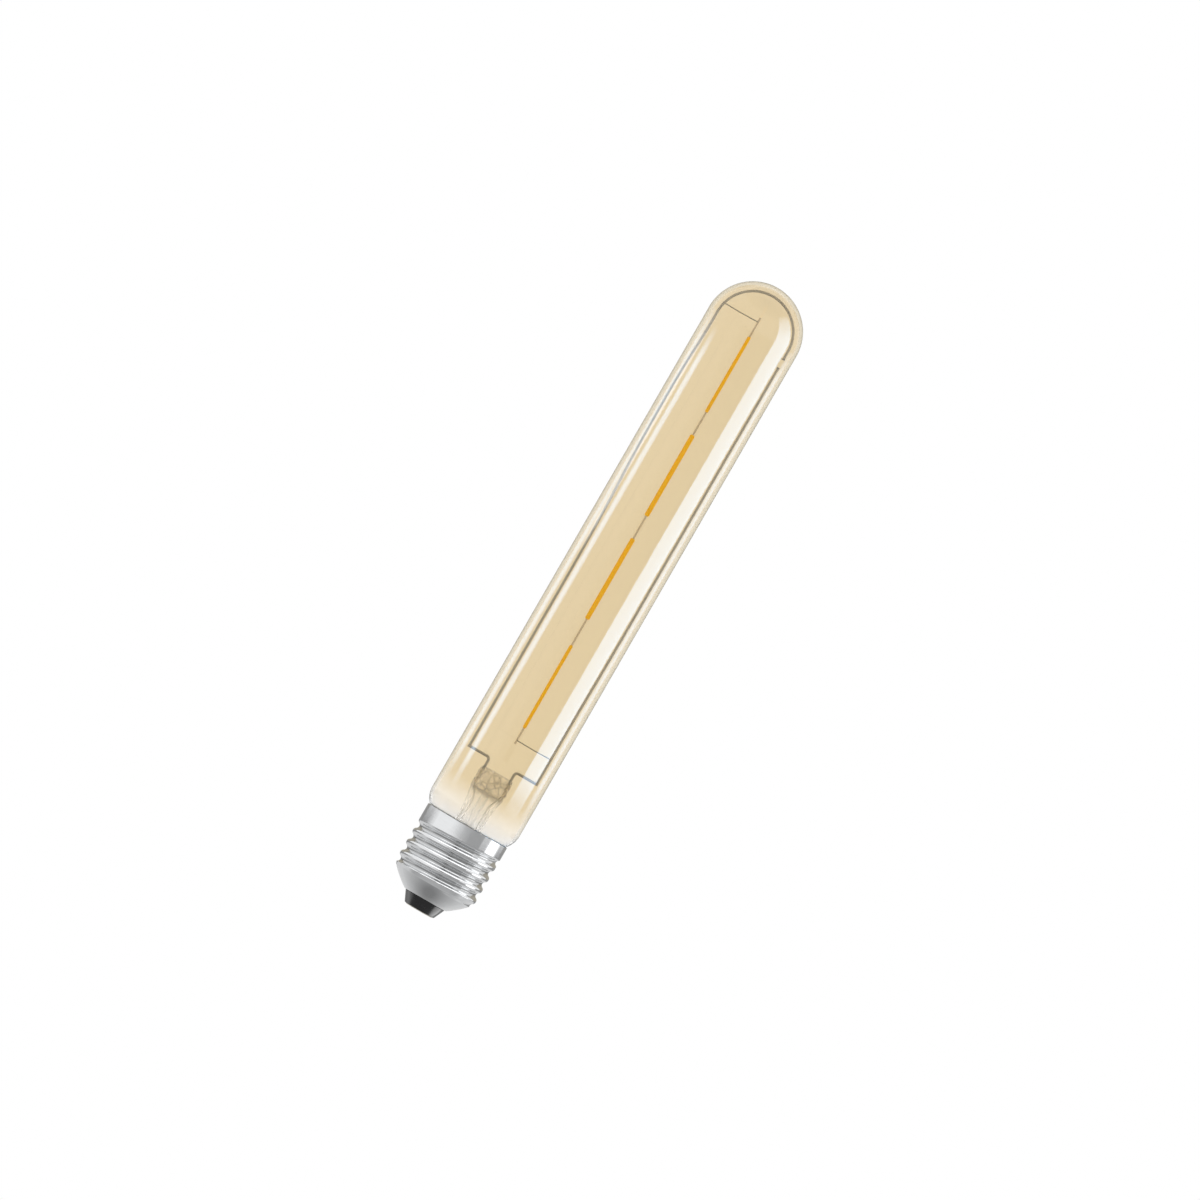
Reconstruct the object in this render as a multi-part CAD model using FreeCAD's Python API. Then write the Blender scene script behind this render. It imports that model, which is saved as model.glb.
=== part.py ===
"""Tubular filament lamp with a 27 mm screw cap, in millimetres.

The lamp stands on its centre contact at the origin, with its axis along +Z.
The support wires lie in the XZ plane.
"""
import FreeCAD, Part
import math
import os

V = FreeCAD.Vector
AXIS = V(0, 0, 1)
ORIGIN = V(0, 0, 0)

# Screw cap
thread_pitch = 3.629
crest_r = 13.1
thread_depth = 1.1
sheet = 0.3
first_crest_z = 10.31       # lowest full crest on the +X side
cap_rim_z = 28.2
collar_band = 5.48          # from the end of the full groove up to the rim
fade_turns = 0.33
fade_rise = 1.2             # how far the groove climbs out of the sheet as it fades
crest_land = 12.0           # the groove starts this many degrees from the middle of a crest
crest_turned = 0.035        # turned off each crest, below the upper edges of the groove
foot_r = 6.8
foot_z = 3.7
belly_out = 0.25            # how far the taper bulges beyond a straight cone
knee_inset = 0.65
cap_knee_z = 8.6
crest_climb = 2.4           # rise of the cap above its knee for each mm of radius

# Glass envelope
tube_r = 14.5
glass_wall = 1.0
lamp_length = 207.0
shoulder_high = 5.4
shoulder_bend_share = 0.18  # lower arc of the shoulder, as a share of both radii
shoulder_gap = 0.3          # between the foot of the shoulder and the inside of the rim
shoulder_dip = 0.6          # how far the foot of the shoulder lies below the rim
neck_gap = 0.6              # between the neck and the sheet at the roots of the thread
neck_bend_high = 3.2
neck_long = 7.0

# Insulator and centre contact
insulator_high = 7.2
insulator_foot_r = 4.8
insulator_face_z = 0.2
insulator_waist_gap = 0.4   # between the insulator and the edge of the cap's foot
insulator_waist_z = 3.6
insulator_lip = 0.35
eyelet_r = 4.3
eyelet_thick = 0.6
eyelet_edge = 0.2
shank_r = 1.5
shank_bore_r = 0.8
shank_long = 5.6
solder_fill_z = 1.8
solder_dish = 0.1

# Cement
cement_lift = 0.6           # above the lower end of the neck
cement_step_drop = 3.2      # below the rim, and above the end of the groove
cement_sink = 0.3

# Stem
stem_r = 4.3
stem_wall = 0.9
flare_lip = 1.0             # height of the lip above the lower end of the neck
flare_high = 9.1
press_foot_z = 39.2
press_high = 6.4
press_half_x = 5.2
press_half_y = 2.0
press_corner = 1.2
press_edge = 0.8
waist_high = 6.2            # from the round tube up to the press
hollow_half_y = 0.9
slot_round = 0.98           # a round end of a flattened tube, as a share of its half width
exhaust_r = 1.3
exhaust_bore_r = 0.7
exhaust_seat = 1.2          # how far the exhaust tube runs into the press
exhaust_drop = 1.8          # from the lower end of the neck to the sealed tip
exhaust_cone = 2.2
tip_share = 0.3

# Leads and support wires
wire_r = 0.4
lead_inset = 0.9            # from the side of the press in to the middle of a lead
lead_rise = 2.8             # from the press up to the sideways run
lead_bend = 1.0
lead_sink = 1.2             # length of an inner lead inside the press
seal_r = 0.32
seal_lift = 1.0             # from the foot of the press up to the foot of the seal
outer_lead_r = 0.25
outer_lead_slip = 1.8       # sideways step of an outer lead into the stem tube
outer_lead_drop = 3.7
outer_lead_bend = 2.0
hollow_side_gap = 0.25
arch_gap = 1.4              # between the arch and the inside of the dome
bow_gap = 0.8               # the same, where the left wire bows out
left_inset = 0.6            # the straight part of the left wire, in from the arch
right_inset = 0.04
right_foot_inset = 0.4
bow_share = 0.816           # heights on the wires as shares of their upright length
bend_share = 0.386
right_bend_rise = 9.6
bead_drop = 5.2             # from the dome's centre down to the end of the right wire
wire_gap = 2.3
bead_r = 0.95
bead_seat = 0.7

# Filament string: its ends, and the top and bottom of each strip as shares of its length,
# with the strip's turn about the axis
top_pin_rise = 4.5
bottom_pin_rise = 7.0
strips = [
    (0.9555, 0.7782, 90),
    (0.7253, 0.5346, 0),
    (0.4823, 0.2924, 0),
    (0.2316, 0.0367, 90),
]
strip_wide = 1.45
strip_thick = 1.05
strip_round = 0.4
pin_wide = 0.6
pin_thick = 0.22
pin_seat = 1.2
pin_lap = 1.4
link_r = 0.17
top_link_drop = 1.4
bottom_link_rise = 1.2

# Driver in the cap
board_gap = 0.45
board_thick = 1.0
can_gap = 0.4               # between the capacitor and the insulator
feed_r = 0.3
feed_stub = 0.5
neutral_inset = 3.2
neutral_rise = 1.5
neutral_bend = 0.9
neutral_gap = 0.8           # from the end of the wire to the crests' inner side
side_solder_r = 0.9
can_r = 1.9
can_high = 3.7
can_x = 4.6
can_y = -4.4
can_groove = 0.15
can_groove_drop = 0.7
chip_bevel = 0.3
rectifier_size = (4.8, 4.0, 1.6)
rectifier_place = (5.6, 4.2)
driver_chip_size = (4.9, 3.9, 1.5)
driver_chip_place = (-5.7, -5.0)
fuse_r = 1.0
fuse_long = 5.6
fuse_round = 0.35
fuse_y = -6.9
sense_long = 2.0
sense_wide = 1.25
sense_high = 0.5
sense_x = 2.6
sense_y = 5.4

# Clearance between pieces that seat in one another
fit = 0.03

# Places that follow from the sizes above
root_r = crest_r - thread_depth
groove_half = thread_pitch / 2
groove_foot_z = first_crest_z + groove_half - 2 * thread_pitch
groove_turns = (cap_rim_z - collar_band - groove_foot_z) / thread_pitch
cap_knee_r = crest_r - knee_inset
shoulder_foot_r = crest_r - sheet - shoulder_gap
shoulder_foot_z = cap_rim_z - shoulder_dip
shoulder_top_z = shoulder_foot_z + shoulder_high
neck_r = root_r - sheet - neck_gap
neck_top_z = shoulder_foot_z - neck_bend_high
neck_end_z = neck_top_z - neck_long
dome_z = lamp_length - tube_r
insulator_top_z = insulator_face_z + insulator_high
cement_foot_z = neck_end_z + cement_lift
cement_step_z = cap_rim_z - cement_step_drop
flare_lip_z = neck_end_z + flare_lip
flare_top_z = flare_lip_z + flare_high
stem_straight_z = press_foot_z - waist_high
press_top_z = press_foot_z + press_high
exhaust_top_z = press_foot_z + exhaust_seat
exhaust_tip_z = neck_end_z - exhaust_drop
lead_x = press_half_x - lead_inset
lead_run_z = press_top_z + lead_rise
lead_seal_z = press_top_z - lead_sink
seal_foot_z = press_foot_z + seal_lift
outer_lead_x = lead_x - outer_lead_slip
outer_lead_bend_z = press_foot_z - outer_lead_drop
hollow_half_x = lead_x + hollow_side_gap
arch_r = tube_r - glass_wall - wire_r - arch_gap
left_bow_x = tube_r - glass_wall - wire_r - bow_gap
left_wire_x = arch_r - left_inset
right_wire_x = arch_r - right_inset
right_foot_x = arch_r - right_foot_inset
left_bow_z = lead_run_z + (dome_z - lead_run_z) * bow_share
wire_bend_z = lead_run_z + (dome_z - lead_run_z) * bend_share
right_bend_foot_z = lead_run_z + right_bend_rise
right_wire_top_z = dome_z - bead_drop
top_pin_z = dome_z + top_pin_rise
bottom_pin_z = lead_run_z + bottom_pin_rise
top_link_z = top_pin_z - top_link_drop
bottom_link_z = bottom_pin_z + bottom_link_rise
board_r = root_r - sheet - board_gap
board_z = insulator_top_z + can_gap + can_high
board_top_z = board_z + board_thick
neutral_x = board_r - neutral_inset
neutral_run_z = insulator_top_z + neutral_rise
neutral_reach = crest_r - sheet - crest_turned - neutral_gap - side_solder_r


def at(x, z):
    """Point in the XZ plane, where x is also the radius of a turned outline."""
    return V(x, 0, z)


def line(a, b):
    return Part.LineSegment(a, b).toShape()


def arc(a, middle, b):
    return Part.Arc(a, middle, b).toShape()


def turned(edges):
    """Solid turned about the lamp axis from a closed outline."""
    return Part.Face(Part.Wire(edges)).revolve(ORIGIN, AXIS, 360)


def turned_polygon(points):
    corners = [at(r, z) for r, z in points]
    return turned([line(a, b) for a, b in zip(corners, corners[1:] + corners[:1])])


def cylinder(radius, z_low, z_high, x=0.0, y=0.0):
    return Part.makeCylinder(radius, z_high - z_low, V(x, y, z_low))


def box(size_x, size_y, z_low, z_high, x=0.0, y=0.0):
    return Part.makeBox(size_x, size_y, z_high - z_low, V(x - size_x / 2, y - size_y / 2, z_low))


def s_bend(x0, z0, x1, z1, low_share=0.5):
    """Two arcs from one upright run to another, upright at both ends.

    The lower arc has the given share of both radii added up.
    """
    step = x1 - x0
    rise = z1 - z0
    radii = (step ** 2 + rise ** 2) / (2 * abs(step))
    turn = 2 * math.atan(abs(step) / rise)
    low_r = radii * low_share
    high_r = radii - low_r
    side = math.copysign(1, step)

    def on_low(angle):
        return at(x0 + side * low_r * (1 - math.cos(angle)), z0 + low_r * math.sin(angle))

    first = arc(at(x0, z0), on_low(turn / 2), on_low(turn))
    back = at(x1 - side * high_r * (1 - math.cos(turn / 2)), z1 - high_r * math.sin(turn / 2))
    second = arc(on_low(turn), back, at(x1, z1))
    return [first, second]


def elbow(before, corner, after, radius):
    """Corner of a wire's path, as the end of one run, an arc and the start of the next."""
    into = (before - corner).normalize()
    out = (after - corner).normalize()
    half_angle = into.getAngle(out) / 2
    reach = radius / math.tan(half_angle)
    start = corner + into * reach
    end = corner + out * reach
    towards = (into + out).normalize()
    middle = corner + towards * (radius / math.sin(half_angle) - radius)
    return start, arc(start, middle, end), end


def rod(edges, radius):
    """Round wire along a path."""
    path = Part.Wire(edges)
    first = path.OrderedEdges[0]
    start = path.OrderedVertexes[0].Point
    direction = first.tangentAt(first.FirstParameter)
    section = Part.Wire([Part.makeCircle(radius, start, direction)])
    return path.makePipeShell([section], True, True)


def glass_outline(inset):
    """Outside of the glass, or with an inset its inside, from the neck to the dome's top."""
    r = tube_r - inset
    foot_r_here = shoulder_foot_r - inset
    neck_here = neck_r - inset
    low = neck_end_z
    top = dome_z + r
    lean = r * math.sqrt(0.5)
    edges = [line(at(0, low), at(neck_here, low)), line(at(neck_here, low), at(neck_here, neck_top_z))]
    edges += s_bend(neck_here, neck_top_z, foot_r_here, shoulder_foot_z)
    edges += s_bend(foot_r_here, shoulder_foot_z, r, shoulder_top_z, shoulder_bend_share)
    edges += [
        line(at(r, shoulder_top_z), at(r, dome_z)),
        arc(at(r, dome_z), at(lean, dome_z + lean), at(0, top)),
        line(at(0, top), at(0, low)),
    ]
    return turned(edges)


def glass_envelope():
    return glass_outline(0).cut(glass_outline(glass_wall))


def knuckle_arcs(inset):
    """Centres and radii of the crest and root arcs of the thread, and where they join."""
    arc_r = ((crest_r - root_r) ** 2 + groove_half ** 2) / (4 * (crest_r - root_r))
    crest_x = crest_r - arc_r
    root_x = root_r + arc_r
    slope = V(crest_x - root_x, 0, groove_half).normalize()
    crest_arc = arc_r - inset
    root_arc = arc_r + inset
    return crest_x, crest_arc, root_x, root_arc, slope


def groove(inset):
    """Space between two ridges: one root arc between two halves of crest arcs.

    It follows the right-hand thread, and climbs out of the sheet at its upper end.
    """
    crest_x, crest_arc, root_x, root_arc, slope = knuckle_arcs(inset)
    join = at(root_x, 0) + slope * root_arc
    land = math.radians(crest_land)
    edge = at(crest_x + crest_arc * math.cos(land), groove_half - crest_arc * math.sin(land))
    flank = math.atan2(groove_half - join.z, join.x - crest_x)
    lean = (land + flank) / 2
    middle = at(crest_x + crest_arc * math.cos(lean), groove_half - crest_arc * math.sin(lean))
    open_x = crest_r + fade_rise

    def low(p):
        return at(p.x, -p.z)

    edges = [
        line(at(open_x, -edge.z), low(edge)),
        arc(low(edge), low(middle), low(join)),
        arc(low(join), at(root_x - root_arc, 0), join),
        arc(join, middle, edge),
        line(edge, at(open_x, edge.z)),
        line(at(open_x, edge.z), at(open_x, -edge.z)),
    ]
    section = Part.Wire(edges)
    section.translate(V(0, 0, groove_foot_z))
    helix = Part.makeHelix(thread_pitch, groove_turns * thread_pitch, crest_r)
    helix.translate(V(0, 0, groove_foot_z))
    main = swept(section, helix)
    fade = Part.makeLongHelix(
        thread_pitch, fade_turns * thread_pitch, crest_r,
        math.degrees(math.atan(fade_rise / (fade_turns * thread_pitch))))
    fade.translate(V(0, 0, groove_foot_z + groove_turns * thread_pitch))
    turn = groove_turns * 360
    fade.rotate(ORIGIN, AXIS, turn)
    end_section = section.copy()
    end_section.translate(V(0, 0, groove_turns * thread_pitch))
    end_section.rotate(ORIGIN, AXIS, turn)
    return main, swept(end_section, fade)


def swept(section, spine):
    sweep = Part.BRepOffsetAPI.MakePipeShell(Part.Wire(spine.Edges))
    sweep.setFrenetMode(True)
    sweep.add(section)
    sweep.build()
    sweep.makeSolid()
    return sweep.shape()


def cap_body(inset):
    """Threaded body of the cap, filled; with an inset, the hollow inside its sheet.

    A threaded bar is turned down to the cap's tapered foot.
    """
    bar_r = crest_r - inset - crest_turned
    base_z = foot_z - inset
    bar = cylinder(bar_r, base_z - 1, cap_rim_z + inset)
    for tool in groove(inset):
        bar = bar.cut(tool)
    shift = V(foot_z - cap_knee_z, 0, cap_knee_r - foot_r).normalize() * inset
    foot = at(foot_r, foot_z) + shift
    knee = at(cap_knee_r, cap_knee_z) + shift
    belly = (foot + knee) / 2 + V(cap_knee_z - foot_z, 0, foot_r - cap_knee_r).normalize() * belly_out
    outside_r = crest_r + fade_rise
    outside_z = knee.z + (outside_r - knee.x) * crest_climb
    top_z = cap_rim_z + inset + 1
    edges = [line(at(0, base_z), at(foot.x, base_z))]
    if inset:
        edges.append(line(at(foot.x, base_z), foot))
    edges += [
        arc(foot, belly, knee),
        line(knee, at(outside_r, outside_z)),
        line(at(outside_r, outside_z), at(outside_r, top_z)),
        line(at(outside_r, top_z), at(0, top_z)),
        line(at(0, top_z), at(0, base_z)),
    ]
    return bar.common(turned(edges))


def cap_insulator():
    """Black ring that fills the cap's foot, with a seat and bore for the centre contact."""
    top_r = cap_knee_r - sheet - fit
    taper_r = top_r - (top_r - foot_r) * (cap_knee_z - insulator_top_z) / (cap_knee_z - foot_z)
    waist_r = foot_r - insulator_waist_gap
    body = turned_polygon([
        (0, insulator_face_z),
        (insulator_foot_r, insulator_face_z),
        (waist_r, insulator_waist_z),
        (waist_r, foot_z + sheet),
        (taper_r - insulator_lip, insulator_top_z),
        (0, insulator_top_z),
    ])
    seat = cylinder(eyelet_r + fit, insulator_face_z - 1, eyelet_thick)
    bore = cylinder(shank_r + fit, insulator_face_z - 1, insulator_top_z + 1)
    return body.cut(seat).cut(bore)


def contact_eyelet():
    """Centre contact: a disc with a rolled edge and a hollow shank."""
    disc = cylinder(eyelet_r, 0, eyelet_thick)
    disc = disc.makeFillet(eyelet_edge, [e for e in disc.Edges if e.BoundBox.ZMax < eyelet_thick / 2])
    shank = cylinder(shank_r, eyelet_thick / 2, eyelet_thick + shank_long)
    bore = cylinder(shank_bore_r, -1, eyelet_thick + shank_long + 1)
    return disc.fuse(shank).cut(bore).removeSplitter()


def centre_solder(feed):
    fill = cylinder(shank_bore_r, solder_dish, solder_fill_z)
    return fill.cut(feed)


def basing_cement():
    """Ring of cement between the neck of the glass and the sheet of the cap."""
    upper_r = crest_r - sheet - crest_turned - fit
    lower_r = root_r - sheet - fit
    ring = turned_polygon([
        (0, cement_foot_z),
        (lower_r, cement_foot_z),
        (lower_r, cement_step_z),
        (upper_r, cement_step_z),
        (upper_r, cap_rim_z - cement_sink),
        (0, cap_rim_z - cement_sink),
    ])
    return ring.cut(glass_outline(0))


def flare_arc(inset):
    """Trumpet curve of the flare, from the tube's side down to the lip."""
    lip_r = neck_r - glass_wall - fit
    span = lip_r - stem_r
    drop = flare_top_z - flare_lip_z
    radius = (span ** 2 + drop ** 2) / (2 * span)
    centre = at(stem_r + radius, flare_top_z)
    far = radius + inset
    low = at(lip_r, flare_top_z - math.sqrt(far ** 2 - (centre.x - lip_r) ** 2))
    top = at(stem_r - inset, flare_top_z)
    towards = (low - centre).normalize() + (top - centre).normalize()
    middle = centre + towards.normalize() * far
    return low, middle, top


def rounded_slot(half_x, half_y, corner, z):
    """Rectangle with rounded corners, as a closed wire at one height."""
    x_in = half_x - corner
    y_in = half_y - corner
    bend = corner * math.sqrt(0.5)
    edges = []
    for sx, sy in ((1, 1), (-1, 1), (-1, -1), (1, -1)):
        on_x = V(sx * half_x, sy * y_in, z)
        on_y = V(sx * x_in, sy * half_y, z)
        middle = V(sx * (x_in + bend), sy * (y_in + bend), z)
        first, last = (on_x, on_y) if sx * sy > 0 else (on_y, on_x)
        edges.append(arc(first, middle, last))
    sides = []
    for k, corner_edge in enumerate(edges):
        following = edges[(k + 1) % 4]
        a = corner_edge.valueAt(corner_edge.LastParameter)
        b = following.valueAt(following.FirstParameter)
        sides.append(line(a, b))
    return Part.Wire([e for pair in zip(edges, sides) for e in pair])


def stem_glass(inserts):
    """Flare, tube and flattened press in one glass piece, sealed round what passes through it."""
    outer_low, outer_middle, outer_top = flare_arc(0)
    inner_low, inner_middle, inner_top = flare_arc(stem_wall)
    trumpet = turned([
        line(inner_low, outer_low),
        arc(outer_low, outer_middle, outer_top),
        line(outer_top, at(stem_r, stem_straight_z)),
        line(at(stem_r, stem_straight_z), at(stem_r - stem_wall, stem_straight_z)),
        line(at(stem_r - stem_wall, stem_straight_z), inner_top),
        arc(inner_top, inner_middle, inner_low),
    ])
    tube_ring = rounded_slot(stem_r, stem_r, stem_r * slot_round, stem_straight_z)
    press_ring = rounded_slot(press_half_x, press_half_y, press_corner, press_foot_z)
    waist = Part.makeLoft([tube_ring, press_ring], True, True)
    hollow_r = stem_r - stem_wall
    hollow_ring = rounded_slot(hollow_r, hollow_r, hollow_r * slot_round, stem_straight_z)
    slit = rounded_slot(hollow_half_x, hollow_half_y, hollow_half_y * slot_round, press_foot_z)
    hollow = Part.makeLoft([hollow_ring, slit], True, True)
    press = Part.Face(rounded_slot(press_half_x, press_half_y, press_corner, press_foot_z))
    press = press.extrude(V(0, 0, press_top_z - press_foot_z))
    top_edges = [e for e in press.Edges if e.BoundBox.ZMin > press_top_z - fit]
    press = press.makeFillet(press_edge, top_edges)
    stem = trumpet.fuse(waist.cut(hollow)).fuse(press)
    for piece in inserts:
        stem = stem.cut(piece)
    return stem.removeSplitter()


def exhaust_tube():
    """Thin glass pipe with its lower end drawn to a sealed tip."""
    cone_z = exhaust_tip_z + exhaust_cone
    return turned_polygon([
        (0, exhaust_tip_z),
        (exhaust_r * tip_share, exhaust_tip_z),
        (exhaust_r, cone_z),
        (exhaust_r, exhaust_top_z),
        (exhaust_bore_r, exhaust_top_z),
        (exhaust_bore_r, cone_z + exhaust_bore_r),
        (0, cone_z),
    ])


def inner_lead(side, wire_x):
    """Wire out of the press, bent outwards to carry a support wire."""
    foot = at(side * lead_x, lead_seal_z)
    corner = at(side * lead_x, lead_run_z)
    far = at(side * (wire_x + wire_r), lead_run_z)
    start, bend, end = elbow(foot, corner, far, lead_bend)
    return rod([line(foot, start), bend, line(end, far)], wire_r)


def seal_wire(side):
    return cylinder(seal_r, seal_foot_z, lead_seal_z, side * lead_x)


def outer_lead(side):
    """Lead from the seal down the stem tube and through the driver board."""
    top = at(side * lead_x, seal_foot_z)
    knee = at(side * outer_lead_x, outer_lead_bend_z)
    foot = at(side * outer_lead_x, board_z - feed_stub)
    start, bend, end = elbow(top, knee, foot, outer_lead_bend)
    return rod([line(top, start), bend, line(end, foot)], outer_lead_r)


def frame_wire_left():
    """Support wire up the left side, slightly bowed, and over the dome to the right side."""
    edges = [line(at(-left_wire_x, lead_run_z), at(-left_wire_x, wire_bend_z))]
    edges += s_bend(-left_wire_x, wire_bend_z, -left_bow_x, left_bow_z)
    edges += s_bend(-left_bow_x, left_bow_z, -arch_r, dome_z)
    edges.append(arc(at(-arch_r, dome_z), at(0, dome_z + arch_r), at(arch_r, dome_z)))
    edges.append(line(at(arch_r, dome_z), at(arch_r, right_wire_top_z + wire_gap)))
    return rod(edges, wire_r)


def frame_wire_right():
    edges = [line(at(right_foot_x, lead_run_z), at(right_foot_x, right_bend_foot_z))]
    edges += s_bend(right_foot_x, right_bend_foot_z, right_wire_x, wire_bend_z)
    edges.append(line(at(right_wire_x, wire_bend_z), at(right_wire_x, right_wire_top_z)))
    return rod(edges, wire_r)


def bead_insulator(wires):
    """Glass bead that holds the two support wires in line without letting them touch."""
    middle_z = right_wire_top_z + wire_gap / 2
    half = wire_gap / 2 + bead_seat
    body_half = half - bead_r
    centre_x = (arch_r + right_wire_x) / 2
    low = V(centre_x, 0, middle_z - body_half)
    high = V(centre_x, 0, middle_z + body_half)
    bead = Part.makeCylinder(bead_r, 2 * body_half, low)
    bead = bead.fuse([Part.makeSphere(bead_r, low), Part.makeSphere(bead_r, high)]).removeSplitter()
    for wire in wires:
        bead = bead.cut(wire)
    return max(bead.Solids, key=lambda solid: solid.Volume)


def link_wire(x, z, carriers):
    """Thin wire from a filament pin out to a support wire, welded to both."""
    link = Part.makeCylinder(link_r, abs(x), V(0, -pin_thick - link_r, z), V(math.copysign(1, x), 0, 0))
    for carrier in carriers:
        link = link.cut(carrier)
    return max(link.Solids, key=lambda solid: solid.Volume)


def strip_ends(number):
    """Height of a strip's top and bottom."""
    long = top_pin_z - bottom_pin_z
    return bottom_pin_z + long * strips[number][0], bottom_pin_z + long * strips[number][1]


def filament_strip(number):
    """Phosphor-coated strip with rounded long edges."""
    top, foot = strip_ends(number)
    strip = box(strip_wide, strip_thick, foot, top)
    upright = [e for e in strip.Edges if e.BoundBox.ZLength > strip_wide]
    strip = strip.makeFillet(strip_thick * strip_round, upright)
    strip.rotate(ORIGIN, AXIS, strips[number][2])
    return strip


def filament_pin(number, upper):
    """Flat metal end of a strip; upper pins lie behind the axis and lower pins before it."""
    top, foot = strip_ends(number)
    if upper:
        low = top - pin_seat
        high = top_pin_z if number == 0 else (strip_ends(number - 1)[1] + top + pin_lap) / 2
    else:
        high = foot + pin_seat
        last = number == len(strips) - 1
        low = bottom_pin_z if last else (foot + strip_ends(number + 1)[0] - pin_lap) / 2
    side = 1 if upper else -1
    return box(pin_wide, pin_thick, low, high, 0, side * pin_thick / 2)


def driver_board(leads):
    board = cylinder(board_r, board_z, board_top_z)
    for lead in leads:
        board = board.cut(lead)
    return board


def live_wire():
    return cylinder(feed_r, solder_fill_z / 3, board_top_z + feed_stub)


def neutral_wire():
    """Wire from the board out to the inside of the cap's sheet."""
    top = at(-neutral_x, board_top_z + feed_stub)
    corner = at(-neutral_x, neutral_run_z)
    far = at(-neutral_reach, neutral_run_z)
    start, bend, end = elbow(top, corner, far, neutral_bend)
    return rod([line(top, start), bend, line(end, far)], feed_r)


def side_solder(hollow, wire):
    drop = Part.makeSphere(side_solder_r, at(-neutral_reach - side_solder_r / 3, neutral_run_z))
    return drop.common(hollow).cut(wire)


def smoothing_capacitor():
    """Round can with a sleeve groove, hung under the board."""
    can = cylinder(can_r, board_z - can_high, board_z, can_x, can_y)
    ring = Part.makeTorus(can_r, can_groove, V(can_x, can_y, board_z - can_groove_drop), AXIS)
    return can.cut(ring)


def chip(size_x, size_y, size_z, x, y, low):
    """Moulded component with bevelled upper edges."""
    body = box(size_x, size_y, low, low + size_z, x, y)
    top = [e for e in body.Edges if e.BoundBox.ZMin > low + size_z - fit]
    return body.makeChamfer(size_z * chip_bevel, top)


def fuse_resistor():
    """Barrel-shaped resistor lying on the board."""
    centre = V(-fuse_long / 2, fuse_y, board_top_z + fuse_r)
    barrel = Part.makeCylinder(fuse_r, fuse_long, centre, V(1, 0, 0))
    return barrel.makeFillet(fuse_r * fuse_round, barrel.Edges[:1] + barrel.Edges[2:])


def sense_resistors():
    pair = [box(sense_long, sense_wide, board_z - sense_high, board_z, side * sense_x, sense_y) for side in (-1, 1)]
    return Part.makeCompound(pair)


def lamp():
    """Every piece of the lamp by name."""
    names = {}
    names["glass_envelope"] = glass_envelope()
    leads = {}
    for side, word, wire_x in ((-1, "left", left_wire_x), (1, "right", right_foot_x)):
        leads["inner_lead_" + word] = inner_lead(side, wire_x)
        leads["seal_wire_" + word] = seal_wire(side)
        leads["outer_lead_" + word] = outer_lead(side)
    names.update(leads)
    exhaust = exhaust_tube()
    filled_exhaust = cylinder(exhaust_r, stem_straight_z, exhaust_top_z)
    names["exhaust_tube"] = exhaust
    names["stem_glass"] = stem_glass(list(leads.values()) + [filled_exhaust])
    left = frame_wire_left().cut(leads["inner_lead_left"])
    left = max(left.Solids, key=lambda solid: solid.Volume)
    right = frame_wire_right().cut(leads["inner_lead_right"])
    right = max(right.Solids, key=lambda solid: solid.Volume)
    names["frame_wire_left"] = left
    names["frame_wire_right"] = right
    names["bead_insulator"] = bead_insulator([left, right])
    pins = {}
    for number in range(len(strips)):
        strip = filament_strip(number)
        for upper, word in ((True, "upper"), (False, "lower")):
            pin = filament_pin(number, upper)
            pins["filament_pin_%d_%s" % (number + 1, word)] = pin
            strip = strip.cut(pin)
        names["led_filament_%d" % (number + 1)] = strip
    names.update(pins)
    top_pin = pins["filament_pin_1_upper"]
    bottom_pin = pins["filament_pin_%d_lower" % len(strips)]
    names["top_link_wire"] = link_wire(-arch_r, top_link_z, [left, top_pin])
    names["bottom_link_wire"] = link_wire(right_wire_x, bottom_link_z, [right, bottom_pin])
    body = cap_body(0)
    hollow = cap_body(sheet)
    names["cap_shell"] = body.cut(hollow)
    names["cap_insulator"] = cap_insulator()
    names["contact_eyelet"] = contact_eyelet()
    live = live_wire()
    neutral = neutral_wire()
    names["live_wire"] = live
    names["neutral_wire"] = neutral
    names["centre_solder"] = centre_solder(live)
    names["side_solder"] = side_solder(hollow, neutral)
    names["basing_cement"] = basing_cement()
    outer = [leads["outer_lead_left"], leads["outer_lead_right"]]
    names["driver_board"] = driver_board(outer + [live, neutral])
    names["smoothing_capacitor"] = smoothing_capacitor()
    names["bridge_rectifier"] = chip(*rectifier_size, *rectifier_place, board_top_z)
    names["driver_chip"] = chip(*driver_chip_size, *driver_chip_place, board_top_z)
    names["fuse_resistor"] = fuse_resistor()
    names["sense_resistors"] = sense_resistors()
    return names


def write_parts():
    os.makedirs("parts", exist_ok=True)
    for name, shape in lamp().items():
        shape.exportStep(os.path.join("parts", name + ".step"))


if __name__ == "__main__":
    write_parts()
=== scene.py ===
"""Looks of a tubular filament lamp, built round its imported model, in metres.

The lamp stands on its centre contact at the origin, with its axis along +Z.
"""
import math

import bmesh
import bpy
from bpy.props import FloatProperty, FloatVectorProperty, IntProperty, PointerProperty
from mathutils import Matrix, Vector, noise


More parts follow.
